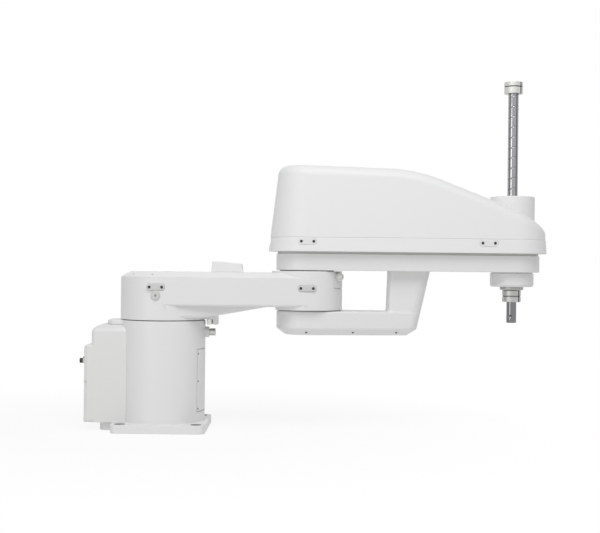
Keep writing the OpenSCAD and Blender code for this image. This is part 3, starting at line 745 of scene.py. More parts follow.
# Inner arm casting. A round turret and a round elbow hub joined by a deep arm, with a keel that
# thins out under it and a stop lug at the front of the turret. One aluminium casting, coated,
# with a plated block behind the lug's rim.
ELBOW_X = 350
ELBOW_R = 86
TURRET_Z = 266
ARM_Z = 300
ARM_TOP = 368
HUB_Z = 292
HUB_TOP = 386
HUB_FLAT = 75.5
ARM_LOWER_ROUND = 7
KEEL_Z = 272
KEEL_L = 262
KEEL_W = 96
KEEL_SETBACK = 2
KEEL_ROUND = 8
KEEL_SINK = 20
LUG_R = 135
LUG_RIM_T = 9
LUG_SPAN = 24
LUG_TOP = 266.5
LUG_Z = 254
LUG_BLOCK_R0 = 109
LUG_BLOCK_R1 = 121
LUG_BLOCK_SPAN = 19
PLATE_L = 44
PLATE_W = 16
PLATE_GAP = 1
PLATE_SCREW_PITCH = 29.5
ARM_PLATE_GAP = 0.3
ARM_PLATE_Z = 345
ARM_PLATE_SEAT = 3.5
SHOULDER_PLATE_X = -7
TAB_R = 11
TAB_DROP = 20
STOP_PLATE_SPAN = 82
STOP_PLATE_T = 4
STOP_PLATE_LOW = 345
STOP_PLATE_HIGH = 382
STADIUM_STEPS = 16
BEVEL_STEPS = 4


def lean(length, r1, r2):
    """Angle of the flank that touches two round ends, in degrees."""
    return math.degrees(math.asin((r1 - r2) / length))


def arm_plan(x, length, r1, r2):
    """Plan of an arm: two round ends and the flanks that touch both, drawn in by an inset."""
    a = lean(length, r1, r2)
    return lambda inset, z: (
        arc(x, 0, r1 - inset, 90 - a, 270 + a, ROUND_STEPS)
        + arc(x + length, 0, r2 - inset, 270 + a, 450 - a, ROUND_STEPS)
    )


def end_plan(x, radius, a):
    """Plan of a whole circle whose points fall on those of an arm's round end."""
    return lambda inset, z: (
        arc(x, 0, radius - inset, 90 - a, 270 + a, ROUND_STEPS)[:-1]
        + arc(x, 0, radius - inset, 270 + a, 450 - a, ROUND_STEPS)[:-1]
    )


def stadium(length, width):
    """Plan of a plate with round ends, its long way along Y, drawn in by an inset."""

    def ring(inset, z):
        r = width / 2 - inset
        end = (length - width) / 2
        return arc(0, end, r, 0, 180, STADIUM_STEPS) + arc(0, -end, r, 180, 360, STADIUM_STEPS)

    return ring


def side_place(x, distance, turn, z):
    """Frame on an arm's side: its Z faces out, its X hangs down and its Y runs along."""
    return (
        Matrix.Translation(Vector((x, 0, z)) * MM)
        @ Matrix.Rotation(math.radians(turn), 4, "Z")
        @ Matrix.Translation((distance * MM, 0, 0))
        @ OUT_ALONG_X
    )


def on_side(piece, x, distance, turn, z):
    """Moves a piece that was made upright onto an arm's side, facing out at an angle."""
    piece.data.transform(side_place(x, distance, turn, z))
    return piece


def plate_solids(name, grow, low, high, edge, tabbed):
    """Solids of a fixing plate with a rounded edge, or with grow of its pocket, made upright."""
    plan = stadium(PLATE_L + 2 * grow, PLATE_W + 2 * grow)
    solids = [stack(name, plan, slab(low, 0, high, edge, 5))]
    if tabbed:
        r = TAB_R + grow
        disc = [(r - 5, low), (r, low), (r, high, edge), (r - 5, high)]
        solids.append(stack("tab", turned_plan(TAB_DROP), disc))
        neck = box_plan(0, TAB_DROP, TAB_R, 0.5)
        solids.append(stack("neck", neck, [(0, low + HAIR), (0, high - edge / 2)]))
    return solids


def bevelled(name, outline, width):
    """A flat-sided solid between an outline of points (x, y, z) and the same at -y, with its
    edges rounded."""
    mesh = bmesh.new()
    near, far = [
        [mesh.verts.new(Vector((x, side * y, z)) * MM) for x, y, z in outline] for side in (-1, 1)
    ]
    mesh.faces.new(near)
    mesh.faces.new(far)
    for i in range(len(outline)):
        on = (i + 1) % len(outline)
        mesh.faces.new((near[i], far[i], far[on], near[on]))
    bmesh.ops.recalc_face_normals(mesh, faces=mesh.faces)
    piece = new_piece(name, mesh)
    edges = piece.modifiers.new("edges", "BEVEL")
    edges.width = width * MM
    edges.segments = BEVEL_STEPS
    edges.limit_method = "NONE"
    bake(piece)
    return piece


arm_lean = lean(ELBOW_X, COLUMN_R, ELBOW_R)
inner = stack(
    "inner_arm",
    arm_plan(0, ELBOW_X, COLUMN_R, ELBOW_R),
    slab(ARM_Z, ARM_LOWER_ROUND, ARM_TOP, 1, 40),
    7,
)
turret = stack(
    "turret",
    end_plan(0, COLUMN_R, arm_lean),
    [
        (30, TURRET_Z),
        (0, TURRET_Z, CAST_ROUND),
        (0, ARM_Z + 20),
        (30, ARM_Z + 40),
    ],
)
hub = stack(
    "hub",
    end_plan(ELBOW_X, ELBOW_R, arm_lean),
    slab(HUB_Z, CAST_ROUND, HUB_TOP, CAST_ROUND, 30),
)
keel_side = COLUMN_R - KEEL_SETBACK
keel_end = KEEL_W / 2
keel_mid = keel_side + (keel_end - keel_side) * COLUMN_R / KEEL_L
keel = bevelled(
    "keel",
    [
        (0, keel_side, KEEL_Z),
        (COLUMN_R, keel_mid, KEEL_Z),
        (KEEL_L, keel_end, ARM_Z),
        (KEEL_L, keel_end, ARM_Z + KEEL_SINK),
        (0, keel_side, ARM_Z + KEEL_SINK),
    ],
    KEEL_ROUND,
)
lug = stack(
    "lug", sector_plan(COLUMN_R / 2, LUG_R, LUG_SPAN), slab(LUG_TOP, 1.5, ARM_Z + 5, 0, 5), 3
)
rim = stack(
    "rim",
    sector_plan(LUG_R - LUG_RIM_T, LUG_R - HAIR, LUG_SPAN - HAIR),
    slab(LUG_Z, 1, LUG_TOP + 8, 0, 2),
    3,
)
join(inner, [turret, hub, keel, lug, rim])
pockets = []
for turn in (-90, 90):
    for x, side, tabbed in ((SHOULDER_PLATE_X, COLUMN_R, True), (ELBOW_X, ELBOW_R, False)):
        for solid in plate_solids("pocket", ARM_PLATE_GAP, 0, ARM_PLATE_SEAT + 2, HAIR, tabbed):
            pockets.append(on_side(solid, x, side - ARM_PLATE_SEAT, turn, ARM_PLATE_Z))
pocket_turn = math.degrees(PLATE_GAP / ELBOW_R)
stop_pocket = stack(
    "pocket",
    sector_plan(ELBOW_R - STOP_PLATE_T - SEAM, ELBOW_R + PAST, STOP_PLATE_SPAN + 2 * pocket_turn),
    [(0, STOP_PLATE_LOW - PLATE_GAP), (0, STOP_PLATE_HIGH + PLATE_GAP)],
)
stop_pocket.data.transform(Matrix.Translation((ELBOW_X * MM, 0, 0)))
hub_rear = stack(
    "hub_rear",
    box_plan(ELBOW_X - ELBOW_R - 1, ELBOW_X - HUB_FLAT, 2 * ELBOW_R, 0.3),
    [(0, HUB_Z - PAST), (0, ARM_Z)],
)
cut(inner, pockets + [stop_pocket, hub_rear])
fit(inner, "inner_arm", "coated_casting", coat, "inner_arm_casting")

stop_block = stack(
    "lug_block",
    sector_plan(LUG_BLOCK_R0, LUG_BLOCK_R1, LUG_BLOCK_SPAN),
    slab(LUG_Z, 1, LUG_TOP, 0.5, 2),
    3,
)
fit(stop_block, "inner_arm", "turned_aluminium", zinc, "shoulder_stop_block")


# Fixing plates of the inner arm. Small domed pads in flat pockets on both sides, two screws
# each, their coat painted darker than the arm's as painted shade. The shoulder's plate has a
# round tab with a tapped hole, for a lifting eye.
ARM_PLATE_PROUD = 2.6
ARM_PLATE_EDGE = 2.5
TAB_HOLE_R = 2.6
SCREW_SINK = 0.3
PAD_SHADE_HEX = "#D2D2D0"
pad_shade_look = tinted(coat, "powder_coated_pads_painted_shade", PAD_SHADE_HEX)


def plate_screws(body, x, distance, turn, z):
    """Notes the two screws of a fixing plate whose face lies at a distance on an arm's side."""
    face = side_place(x, distance - SCREW_SINK, turn, z)
    for end in (-1, 1):
        spot = face @ Vector((0, end * PLATE_SCREW_PITCH / 2 * MM, 0))
        screw(body, "blackened", spot / MM, facing_out(turn))


for node, name, x, side, tabbed in (
    ("shoulder_fixings", "shoulder_plates", SHOULDER_PLATE_X, COLUMN_R, True),
    ("elbow_fixings", "elbow_plates", ELBOW_X, ELBOW_R, False),
):
    seat = side - ARM_PLATE_SEAT
    thick = ARM_PLATE_SEAT + ARM_PLATE_PROUD
    plates = []
    for turn in (-90, 90):
        solids = plate_solids(name, 0, APART, thick, ARM_PLATE_EDGE, tabbed)
        join(solids[0], solids[1:])
        if tabbed:
            hole_profile = [(TAB_HOLE_R, 1), (TAB_HOLE_R, thick + PAST)]
            cut(solids[0], [stack("hole", turned_plan(TAB_DROP), hole_profile)])
        plates.append(on_side(solids[0], x, seat, turn, ARM_PLATE_Z))
        plate_screws("inner_arm", x, seat + thick, turn, ARM_PLATE_Z)
    join(plates[0], plates[1:])
    fit(plates[0], "inner_arm", "coated_casting", pad_shade_look, node)


# Arm lid. A moulded lid over the arm's wiring, sloped all round, that ends against the elbow
# hub. Small socket screws hold it down along its slope.
LID_H = 13.5
LID_SLOPE = 24
LID_ROUND = 8
LID_SETBACK = 0.4
LID_TOP = ARM_TOP + LID_H
LID_SCREW_TURNS = (-135, -100, 100, 135, 180)
lid = stack(
    "arm_lid",
    arm_plan(0, ELBOW_X, COLUMN_R, ELBOW_R),
    [
        (40, ARM_TOP + APART),
        (LID_SETBACK, ARM_TOP + APART, 0.3),
        (LID_SETBACK, ARM_TOP + 1, 0.6),
        (LID_SLOPE, LID_TOP, LID_ROUND),
        (45, LID_TOP),
    ],
)
cut(lid, [bore(ELBOW_X, ELBOW_R + SEAM, ARM_TOP, LID_TOP)])
fit(lid, "inner_arm", "moulded_cover", moulded, "inner_arm_lid")
slope_turn = math.atan2(LID_H, LID_SLOPE)
for turn in LID_SCREW_TURNS:
    out = facing_out(turn)
    spot = out * (COLUMN_R - LID_SLOPE / 2)
    facing = out * math.sin(slope_turn) + Vector((0, 0, math.cos(slope_turn)))
    screw("inner_arm", "plated", (spot.x, spot.y, ARM_TOP + LID_H / 2), facing, SMALL_SCREW_R)


# Elbow stops. A moulded wedge screwed to the lid, and at the hub a curved steel plate, coated,
# that holds a roller-shaped bumper of cast polyurethane across the end of the arm.
WEDGE_X = 117
WEDGE_L = 77
WEDGE_W = 32
WEDGE_HIGH = 27
WEDGE_LOW = 21
WEDGE_RAKE = 2.5
WEDGE_ROUND = 2
BUMPER_X = 428.5
BUMPER_Z = 373
BUMPER_R = 9.5
BUMPER_W = 108
BUMPER_FACE_R = 6.2
BUMPER_FACE_PROUD = 1
BUMPER_GROOVE_W = 1.2
BUMPER_GROOVE_END = 4
BUMPER_HEX = "#EDEDEA"
wedge_outline = (
    (WEDGE_X, LID_TOP),
    (WEDGE_X + WEDGE_L, LID_TOP),
    (WEDGE_X + WEDGE_L - WEDGE_RAKE, LID_TOP + WEDGE_LOW),
    (WEDGE_X + WEDGE_RAKE, LID_TOP + WEDGE_HIGH),
)
wedge = bevelled("elbow_wedge", [(x, WEDGE_W / 2, z) for x, z in wedge_outline], WEDGE_ROUND)
fit(wedge, "inner_arm", "moulded_cover", moulded, "elbow_stop_block")

stop_plate = stack(
    "bumper_plate",
    sector_plan(ELBOW_R - STOP_PLATE_T, ELBOW_R, STOP_PLATE_SPAN),
    slab(STOP_PLATE_LOW, 1, STOP_PLATE_HIGH, 1, 1.5),
    3,
)
stop_plate.data.transform(Matrix.Translation((ELBOW_X * MM, 0, 0)))
fit(stop_plate, "inner_arm", "coated_casting", coat, "elbow_stop_plate")

# Cast polyurethane: a pale, slightly waxy grey.
urethane = mottled("cast_polyurethane", BUMPER_HEX, spacing=6, roughness=(0.4, 0.6))

groove_r = BUMPER_FACE_R + BUMPER_GROOVE_W
bumper_end = [
    # radius, distance from the end and rounding
    (BUMPER_FACE_R - 3, 0, 0),
    (BUMPER_FACE_R, 0, 0.6),
    (BUMPER_FACE_R, BUMPER_GROOVE_END, 0),
    (groove_r, BUMPER_GROOVE_END, 0),
    (groove_r, BUMPER_FACE_PROUD, 0),
    (BUMPER_R, BUMPER_FACE_PROUD, 1.5),
]
bumper_profile = [(r, d - BUMPER_W / 2, corner) for r, d, corner in bumper_end]
bumper_profile += [(r, BUMPER_W / 2 - d, corner) for r, d, corner in reversed(bumper_end)]
bumper = stack("elbow_roller", turned_plan(), bumper_profile)
bumper.data.transform(
    Matrix.Translation(Vector((BUMPER_X, 0, BUMPER_Z)) * MM)
    @ Matrix.Rotation(math.radians(90), 4, "X")
)
cut(bumper, [bore(ELBOW_X, ELBOW_R + SEAM, BUMPER_Z - BUMPER_R, BUMPER_Z + BUMPER_R)])
fit(bumper, "inner_arm", "bumper_rubber", urethane, "elbow_bumper")


# Outer arm casting. The flat aluminium arm that turns on the elbow and carries the spindle at
# its far end. Cast, bored for the spline nut, and coated, with a pale grey gasket round its top
# on which the cover sits; its grey is partly painted shade under the cover's overhang.
SPINDLE_X = 850
CASTING_Z = 388
CASTING_TOP = 433
CASTING_ELBOW_R = 75
CASTING_SPINDLE_R = 66
GASKET_T = 5.5
GASKET_SETBACK = 3
GASKET_SHADE_HEX = "#CACAC8"
NUT_R = 24
outer_l = SPINDLE_X - ELBOW_X
casting_plan = arm_plan(ELBOW_X, outer_l, CASTING_ELBOW_R, CASTING_SPINDLE_R)
gasket_z = CASTING_TOP - GASKET_T
outer = stack(
    "outer_arm",
    casting_plan,
    [
        (30, CASTING_Z),
        (0, CASTING_Z, CAST_ROUND),
        (0, gasket_z, 0.5),
        (2 * GASKET_SETBACK, gasket_z),
        (2 * GASKET_SETBACK, CASTING_TOP),
        (30, CASTING_TOP),
    ],
)
cut(outer, [bore(SPINDLE_X, NUT_R + SEAM, CASTING_Z, CASTING_TOP)])
fit(outer, "outer_arm", "coated_casting", coat, "outer_arm_casting")

# Pale rubber: the seals' rubber with a white filler, as matt as they are, greyed as painted shade.
gasket_shade_look = tinted(rubber, "pale_rubber_painted_shade", GASKET_SHADE_HEX)
gasket_profile = [(GASKET_SETBACK, gasket_z + APART), (GASKET_SETBACK, CASTING_TOP)]
gasket = stack("cover_gasket", casting_plan, gasket_profile)
inside = 2 * GASKET_SETBACK + APART
inside_profile = [(inside, gasket_z - PAST), (inside, CASTING_TOP + PAST)]
cut(gasket, [stack("inside", casting_plan, inside_profile)])
fit(gasket, "outer_arm", "seal_rubber", gasket_shade_look)


# Cable duct. A cast duct under the elbow and a riser that leads the cables up into the outer
# arm, closed below by a moulded cover that screws on through its slope.
DUCT_R = 73.5
DUCT_TOP = 290
DUCT_Z = 250
DUCT_REACH = 276
DUCT_END_W = 90
DUCT_CORNER = 27
DUCT_LEAN = math.radians(12.8)
DUCT_COVER_Z = 232.5
DUCT_SLOPE = 21
DUCT_LIP = 1.2
DUCT_LIP_H = 3
DUCT_LIP_ROUND = 6
DUCT_LOWER_ROUND = 5
DUCT_TOP_ROUND = 4
DUCT_SCREWS_X = (-1, 111, 216)
DUCT_SCREW_R = 2.7
RISER_START = 195.5
RISER_LEAN = math.radians(1.7)
RISER_W = 88
RISER_NEAR_R = 9
RISER_FILLET = 5
RISER_SIDE_SHARE = 0.7
RISER_FOOT_STEPS = 6
duct_spread = DUCT_END_W / 2 - DUCT_CORNER
lip_z = DUCT_Z - DUCT_LIP_H


def duct_end(z):
    """Reach of the duct's leaning far end at a height, from the elbow."""
    return DUCT_REACH + (z - DUCT_TOP) * math.tan(DUCT_LEAN)


def duct_plan(inset, z):
    """Plan of the duct: round at the elbow, with two round corners at its far end."""
    x = duct_end(z) - DUCT_CORNER
    r1 = DUCT_R - inset
    r2 = DUCT_CORNER - inset
    slant = math.hypot(x, duct_spread)
    a = math.degrees(math.asin((r1 - r2) / slant) - math.atan2(duct_spread, x))
    return (
        arc(ELBOW_X, 0, r1, 90 - a, 270 + a, ROUND_STEPS)
        + arc(ELBOW_X + x, -duct_spread, r2, 270 + a, 360, CORNER_STEPS)
        + arc(ELBOW_X + x, duct_spread, r2, 0, 90 - a, CORNER_STEPS)
    )


def riser_plan(inset, z):
    """Plan of the riser, between its leaning near side, which an inset moves, and the duct's
    leaning end."""
    near = ELBOW_X + RISER_START + (z - DUCT_TOP) * math.tan(RISER_LEAN) + inset
    far = ELBOW_X + duct_end(z)
    side = RISER_W / 2
    near_side = side - RISER_SIDE_SHARE * inset
    r0, r1 = RISER_NEAR_R, DUCT_CORNER
    return (
        arc(near + r0, -near_side + r0, r0, 180, 270, CORNER_STEPS)
        + arc(far - r1, -side + r1, r1, 270, 360, CORNER_STEPS)
        + arc(far - r1, side - r1, r1, 0, 90, CORNER_STEPS)
        + arc(near + r0, near_side - r0, r0, 90, 180, CORNER_STEPS)
    )


duct = stack("duct", duct_plan, slab(DUCT_Z, 0.5, DUCT_TOP, DUCT_TOP_ROUND, 20))
riser_profile = [(-RISER_FILLET, DUCT_TOP - 6)]
riser_profile += [
    (u - RISER_FILLET, DUCT_TOP + RISER_FILLET - v)
    for v, u in arc(0, 0, RISER_FILLET, 0, 90, RISER_FOOT_STEPS)
]
riser_profile += [(0, CASTING_Z)]
join(duct, [stack("riser", riser_plan, riser_profile)])
fit(duct, "outer_arm", "coated_casting", coat, "duct_casting", "duct_riser")

duct_cover = stack(
    "duct_cover",
    duct_plan,
    [
        (DUCT_CORNER - 1, DUCT_COVER_Z),
        (DUCT_SLOPE, DUCT_COVER_Z, DUCT_LOWER_ROUND),
        (DUCT_LIP, lip_z, DUCT_LIP_ROUND),
        (0.2, DUCT_Z),
        (20, DUCT_Z - APART),
    ],
)
fit(duct_cover, "outer_arm", "moulded_cover", moulded, "duct_bottom_cover")
slope_fall = math.atan2(lip_z - DUCT_COVER_Z, DUCT_SLOPE - DUCT_LIP)
for x in DUCT_SCREWS_X:
    along = x / (duct_end(DUCT_Z) - DUCT_CORNER)
    side = DUCT_R + (DUCT_END_W / 2 - DUCT_R) * min(max(along, 0), 1)
    for sign in (-1, 1):
        y = sign * (side - (DUCT_SLOPE + DUCT_LIP) / 2)
        facing = (0, sign * math.sin(slope_fall), -math.cos(slope_fall))
        spot = (ELBOW_X + x, y, (lip_z + DUCT_COVER_Z) / 2)
        screw("outer_arm", "blackened", spot, facing, DUCT_SCREW_R)


# Nut housing. A round boss bolted under the end of the arm, which holds the bearings of the
# spline nut. Turned from a casting and coated.
BOSS_Z = 353
BOSS_R = 52.5
BOSS_SLOPE = 5
BOSS_NECK = 3
nut_housing = stack(
    "nut_boss",
    turned_plan(SPINDLE_X),
    [
        (BOSS_R - 20, BOSS_Z),
        (BOSS_R - BOSS_SLOPE / 2, BOSS_Z, 1.5),
        (BOSS_R, BOSS_Z + BOSS_SLOPE, 2),
        (BOSS_R, CASTING_Z - BOSS_NECK),
        (BOSS_R - BOSS_NECK, CASTING_Z - 2),
        (BOSS_R - BOSS_NECK, CASTING_Z),
    ],
)
cut(nut_housing, [bore(SPINDLE_X, NUT_R + SEAM, BOSS_Z, CASTING_Z)])
fit(nut_housing, "outer_arm", "coated_casting", coat, "nut_housing")


# Outer arm cover. The big moulded cover over the motors and belts: a drafted skirt, a wall set
# in above it, a broad rounded edge and a top that falls to the nose, where a round tower lets
# the spindle through. Injection-moulded in one piece.
COVER_ELBOW_R = 93.5
COVER_SPINDLE_R = 83
COVER_H = 207
SKIRT_H = 33
SKIRT_FOOT_ROUND = 1.5
SKIRT_TOP_ROUND = 0.8
SKIRT_LEDGE = 1
CREASE_DEPTH = 1.3
CREASE_H = 2
SKIRT_DRAFT = 4
WALL_DRAFT = 3
REAR_DRAFT = 6.6
EDGE_R = 26
NOSE_EDGE_H = 15
LEVEL_FALL = 0.03
NOSE_FALL = 0.389
BEND_START = 200
BEND_L = 120
TIP_START = 430
TIP_L = 150
TIP_FALL = 0.17
TOWER_R = 53.6
TOWER_TOP = 572
TOWER_ROUND = 2.5
SHAFT_HOLE_R = 14
FLANK_STEPS = 70
EDGE_STEPS = 12
cover_lean = lean(outer_l, COVER_ELBOW_R, COVER_SPINDLE_R)
skirt_inset = SKIRT_H * math.tan(math.radians(SKIRT_DRAFT))
wall_foot = skirt_inset + SKIRT_LEDGE
skirt_top = CASTING_TOP + SKIRT_H


def cover_top(x):
    """Height of the top at a distance from the elbow: level, a bend, a straight fall, and a
    second bend over the nose."""
    gain = NOSE_FALL - LEVEL_FALL
    bent = min(max(x - BEND_START, 0), BEND_L)
    beyond = max(x - BEND_START - BEND_L, 0)
    tip = max(x - TIP_START, 0)
    fall = gain * (bent * bent / (2 * BEND_L) + beyond) + TIP_FALL * tip * tip / (2 * TIP_L)
    return CASTING_TOP + COVER_H - LEVEL_FALL * x - fall


def cover_radius(x):
    """Distance of the skirt's foot from the middle line, at a distance from the elbow."""
    return COVER_ELBOW_R + (COVER_SPINDLE_R - COVER_ELBOW_R) * x / outer_l


def cover_point(station, inset):
    """Place in plan, from the elbow, of a station drawn in by an inset."""
    x, turn = station
    r = cover_radius(x) - inset
    return x + r * math.cos(math.radians(turn)), r * math.sin(math.radians(turn))


def edge_height(station):
    """Height of the rounded edge, which is flatter at the nose."""
    nose = max(0, math.cos(math.radians(station[1]))) ** 2
    return EDGE_R + (NOSE_EDGE_H - EDGE_R) * nose


def wall_inset(station):
    """Inset of the wall where its rounding starts: the rear end leans in more."""
    rise = cover_top(cover_point(station, wall_foot)[0]) - edge_height(station) - skirt_top
    rear = max(0, -math.cos(math.radians(station[1]))) ** 2
    draft = WALL_DRAFT + (REAR_DRAFT - WALL_DRAFT) * rear
    return wall_foot + rise * math.tan(math.radians(draft))


def edge_point(station, turn):
    """Point on the rounded edge, turned from 0 at the wall to 90 degrees at the top."""
    turn = math.radians(turn)
    x, y = cover_point(station, wall_inset(station) + EDGE_R * (1 - math.cos(turn)))
    return ELBOW_X + x, y, cover_top(x) - edge_height(station) * (1 - math.sin(turn))


# Stations run along the near side from the rear to the nose and back along the far side, each a
# distance from the elbow and the direction in which the wall faces.
flank_turn = 270 + cover_lean
near = [(0, 180 + (90 + cover_lean) * i / ROUND_STEPS) for i in range(ROUND_STEPS)]
near += [(outer_l * i / FLANK_STEPS, flank_turn) for i in range(FLANK_STEPS)]
near += [
    (outer_l, flank_turn + (90 - cover_lean) * i / ROUND_STEPS) for i in range(ROUND_STEPS + 1)
]
stations = near + [(x, -turn) for x, turn in reversed(near[1:-1])]
skirt = rounded(
    [
        (25, CASTING_TOP + APART),
        (0, CASTING_TOP + APART, SKIRT_FOOT_ROUND),
        (skirt_inset, skirt_top, SKIRT_TOP_ROUND),
        (wall_foot + CREASE_DEPTH, skirt_top),
        (wall_foot + CREASE_DEPTH, skirt_top + 0.6),
        (wall_foot, skirt_top + CREASE_H),
    ],
    4,
)
cover_rings = [
    [(ELBOW_X + x, y, z) for x, y in (cover_point(s, inset) for s in stations)]
    for inset, z in skirt
]
cover_rings += [
    [edge_point(s, 90 * k / EDGE_STEPS) for s in stations] for k in range(EDGE_STEPS + 1)
]
cover = skin("cover", cover_rings, strips=True)
tower = stack(
    "tower",
    turned_plan(SPINDLE_X),
    [
        (TOWER_R - 20, skirt_top),
        (TOWER_R, skirt_top),
        (TOWER_R, TOWER_TOP, TOWER_ROUND),
        (TOWER_R - 20, TOWER_TOP),
    ],
)
join(cover, [tower])

# Fixing plates of the cover. Thin coated plates in flat pockets of the skirt, with two screws
# each, two on either side and one at the rear.
COVER_PLATE_Z = CASTING_TOP + 24
COVER_PLATES_X = (-2, 429)
COVER_PLATE_T = 1.5
COVER_PLATE_EDGE = 1
COVER_SEAT = 3.5
REAR_SEAT = 7
spots = [("rear", 0, 180, REAR_SEAT)]
for x in COVER_PLATES_X:
    for sign in (-1, 1):
        spots.append(("side", x, sign * (90 - cover_lean), COVER_SEAT))
cover_holes = [bore(SPINDLE_X, SHAFT_HOLE_R, CASTING_TOP, TOWER_TOP)]
cover_plates = {"rear": [], "side": []}
for kind, x, turn, deep in spots:
    distance = cover_radius(x) - deep
    for solid in plate_solids("pocket", PLATE_GAP, 0, deep + 3, HAIR, False):
        cover_holes.append(on_side(solid, ELBOW_X + x, distance, turn, COVER_PLATE_Z))
    plate = plate_solids("cover_plate", 0, APART, COVER_PLATE_T, COVER_PLATE_EDGE, False)[0]
    cover_plates[kind].append(on_side(plate, ELBOW_X + x, distance, turn, COVER_PLATE_Z))
    plate_screws("outer_arm", ELBOW_X + x, distance + COVER_PLATE_T, turn, COVER_PLATE_Z)
cut(cover, cover_holes)
fit(cover, "outer_arm", "moulded_cover", moulded, "outer_arm_cover")
for kind, node in (("side", "cover_fixings"), ("rear", "cover_rear_fixing")):
    plates = cover_plates[kind]
    if plates[1:]:
        join(plates[0], plates[1:])
    fit(plates[0], "outer_arm", "coated_casting", coat, node)


# Spline nut. The ground flange and body that turn the shaft, carried in the nut housing. Turned
# from steel, a close sliding fit on the shaft.
FLANGE_Z = 344.7
FLANGE_H = 8
FLANGE_R = 28.5
FLANGE_SLOPE = 2.5
NUT_TOP = CASTING_TOP - 0.3
NUT_PLAY = 0.08
SHAFT_R = 12.5
TURNED_HEX = "#ACACAA"
TURNING_PITCH = 0.9

# Turned steel: fine rings left by the tool, about three times as coarse as the real ones so
# that they show, which draw the highlight out round the piece.
turned_look = bpy.data.materials.new("turned_steel")
turned_look.use_nodes = True
tree = turned_look.node_tree
surface = tree.nodes["Principled BSDF"]
place = add(tree, "ShaderNodeTexCoord", {})
tool_marks = add(
    tree,
    "ShaderNodeTexWave",
    {
        "Vector": place.outputs["Object"],
        "Scale": 2 * math.pi / (20 * TURNING_PITCH * MM),
        "Distortion": 0.4,
        "Detail": 1,
    },
    bands_direction="Z",
)
relief = add(
    tree,
    "ShaderNodeBump",
    {"Height": tool_marks.outputs["Fac"], "Distance": 0.01 * MM, "Strength": 0.5},
)
gloss = add(
    tree, "ShaderNodeMapRange", {"Value": tool_marks.outputs["Fac"], "To Min": 0.4, "To Max": 0.52}
)
surface.inputs["Base Color"].default_value = linear(TURNED_HEX)
surface.inputs["Metallic"].default_value = 1
tree.links.new(gloss.outputs["Result"], surface.inputs["Roughness"])
tree.links.new(relief.outputs["Normal"], surface.inputs["Normal"])

spline_nut = stack(
    "turning_nut",
    turned_plan(SPINDLE_X),
    [
        (SHAFT_R + 4, FLANGE_Z),
        (FLANGE_R - FLANGE_SLOPE, FLANGE_Z, 0.5),
        (FLANGE_R, FLANGE_Z + FLANGE_SLOPE, 0.8),
        (FLANGE_R, FLANGE_Z + FLANGE_H, 0.5),
        (NUT_R, FLANGE_Z + FLANGE_H),
        (NUT_R, NUT_TOP, 1),
        (SHAFT_R + 2, NUT_TOP),
    ],
)
cut(spline_nut, [bore(SPINDLE_X, SHAFT_R + NUT_PLAY, FLANGE_Z, CASTING_TOP)])
fit(spline_nut, "spline_nut", "turned_aluminium", turned_look, "spline_nut")


# Spindle shaft. A hardened ball-screw spline: a fine helical groove and four straight ball
# grooves cross all along it, ground into bright steel. The tool sits on a plain journal, with
# a dimple for its set screw.
SHAFT_Z = 265
SHAFT_TOP = 852
JOURNAL_R = 12
JOURNAL_TOP = 316
GROOVES_FROM = 344
GROOVES_TO = 824
LEAD = 25
STRAIGHT_GROOVES = 4
FIRST_GROOVE = math.radians(-55.5)
STRAIGHT_W, STRAIGHT_DEPTH = 5, 1.2
HELIX_W, HELIX_DEPTH, HELIX_SHADE = 3, 0.5, 0.45
DIMPLE_R, DIMPLE_DEPTH, DIMPLE_Z = 4, 2.4, 281
DIMPLE_TURN = math.radians(-107)
JOURNAL_SHADE = 0.6
SHAFT_AROUND = 96
SHAFT_STEP = 1.0
FINE_STEP = 0.5
STEEL_HEX = "#A1A1A3"
GROOVE_GREASE_AND_SHADE_HEX = "#5C5C60"


def groove_share(across, width):
    """Depth of a round groove, 0 to 1, at a distance from its middle."""
    side = min(abs(across) / (width / 2), 1)
    return math.sqrt(1 - side * side)


def nearest(value, period):
    """A value brought to within half a period of nought."""
    return (value + period / 2) % period - period / 2


def shaft_cut(turn, z):
    """Depth and shade of what is cut at a place on the shaft, the turn in radians."""
    if z <= JOURNAL_TOP:
        across = nearest(turn - DIMPLE_TURN, 2 * math.pi) * JOURNAL_R
        dimple = max(0, 1 - math.hypot(across, z - DIMPLE_Z) / DIMPLE_R)
        return DIMPLE_DEPTH * dimple, min(JOURNAL_SHADE + 2 * dimple, 1)
    if not GROOVES_FROM <= z <= GROOVES_TO:
        return 0, 0
    straight = nearest(turn - FIRST_GROOVE, 2 * math.pi / STRAIGHT_GROOVES) * SHAFT_R
    climb = nearest(z - LEAD * turn / (2 * math.pi), LEAD)
    slope = math.cos(math.atan2(LEAD, 2 * math.pi * SHAFT_R))
    ball = groove_share(straight, STRAIGHT_W)
    helix = groove_share(climb * slope, HELIX_W)
    return max(STRAIGHT_DEPTH * ball, HELIX_DEPTH * helix), max(ball, HELIX_SHADE * helix)


dimple_count = round(2 * DIMPLE_R / FINE_STEP)
groove_count = round((GROOVES_TO - GROOVES_FROM) / SHAFT_STEP)
levels = [(JOURNAL_R - 1, SHAFT_Z), (JOURNAL_R, SHAFT_Z + 1)]
levels += [(JOURNAL_R, DIMPLE_Z - DIMPLE_R + FINE_STEP * i) for i in range(dimple_count + 1)]
levels += [(JOURNAL_R, JOURNAL_TOP), (SHAFT_R, JOURNAL_TOP + FINE_STEP)]
levels += [(SHAFT_R, GROOVES_FROM - FINE_STEP)]
levels += [(SHAFT_R, GROOVES_FROM + SHAFT_STEP * i) for i in range(groove_count + 1)]
levels += [(SHAFT_R, GROOVES_TO + FINE_STEP)]
levels += [(SHAFT_R, SHAFT_TOP - FINE_STEP), (SHAFT_R - FINE_STEP, SHAFT_TOP)]
turns = [2 * math.pi * i / SHAFT_AROUND for i in range(SHAFT_AROUND)]
shaft_rings = []
shades = []
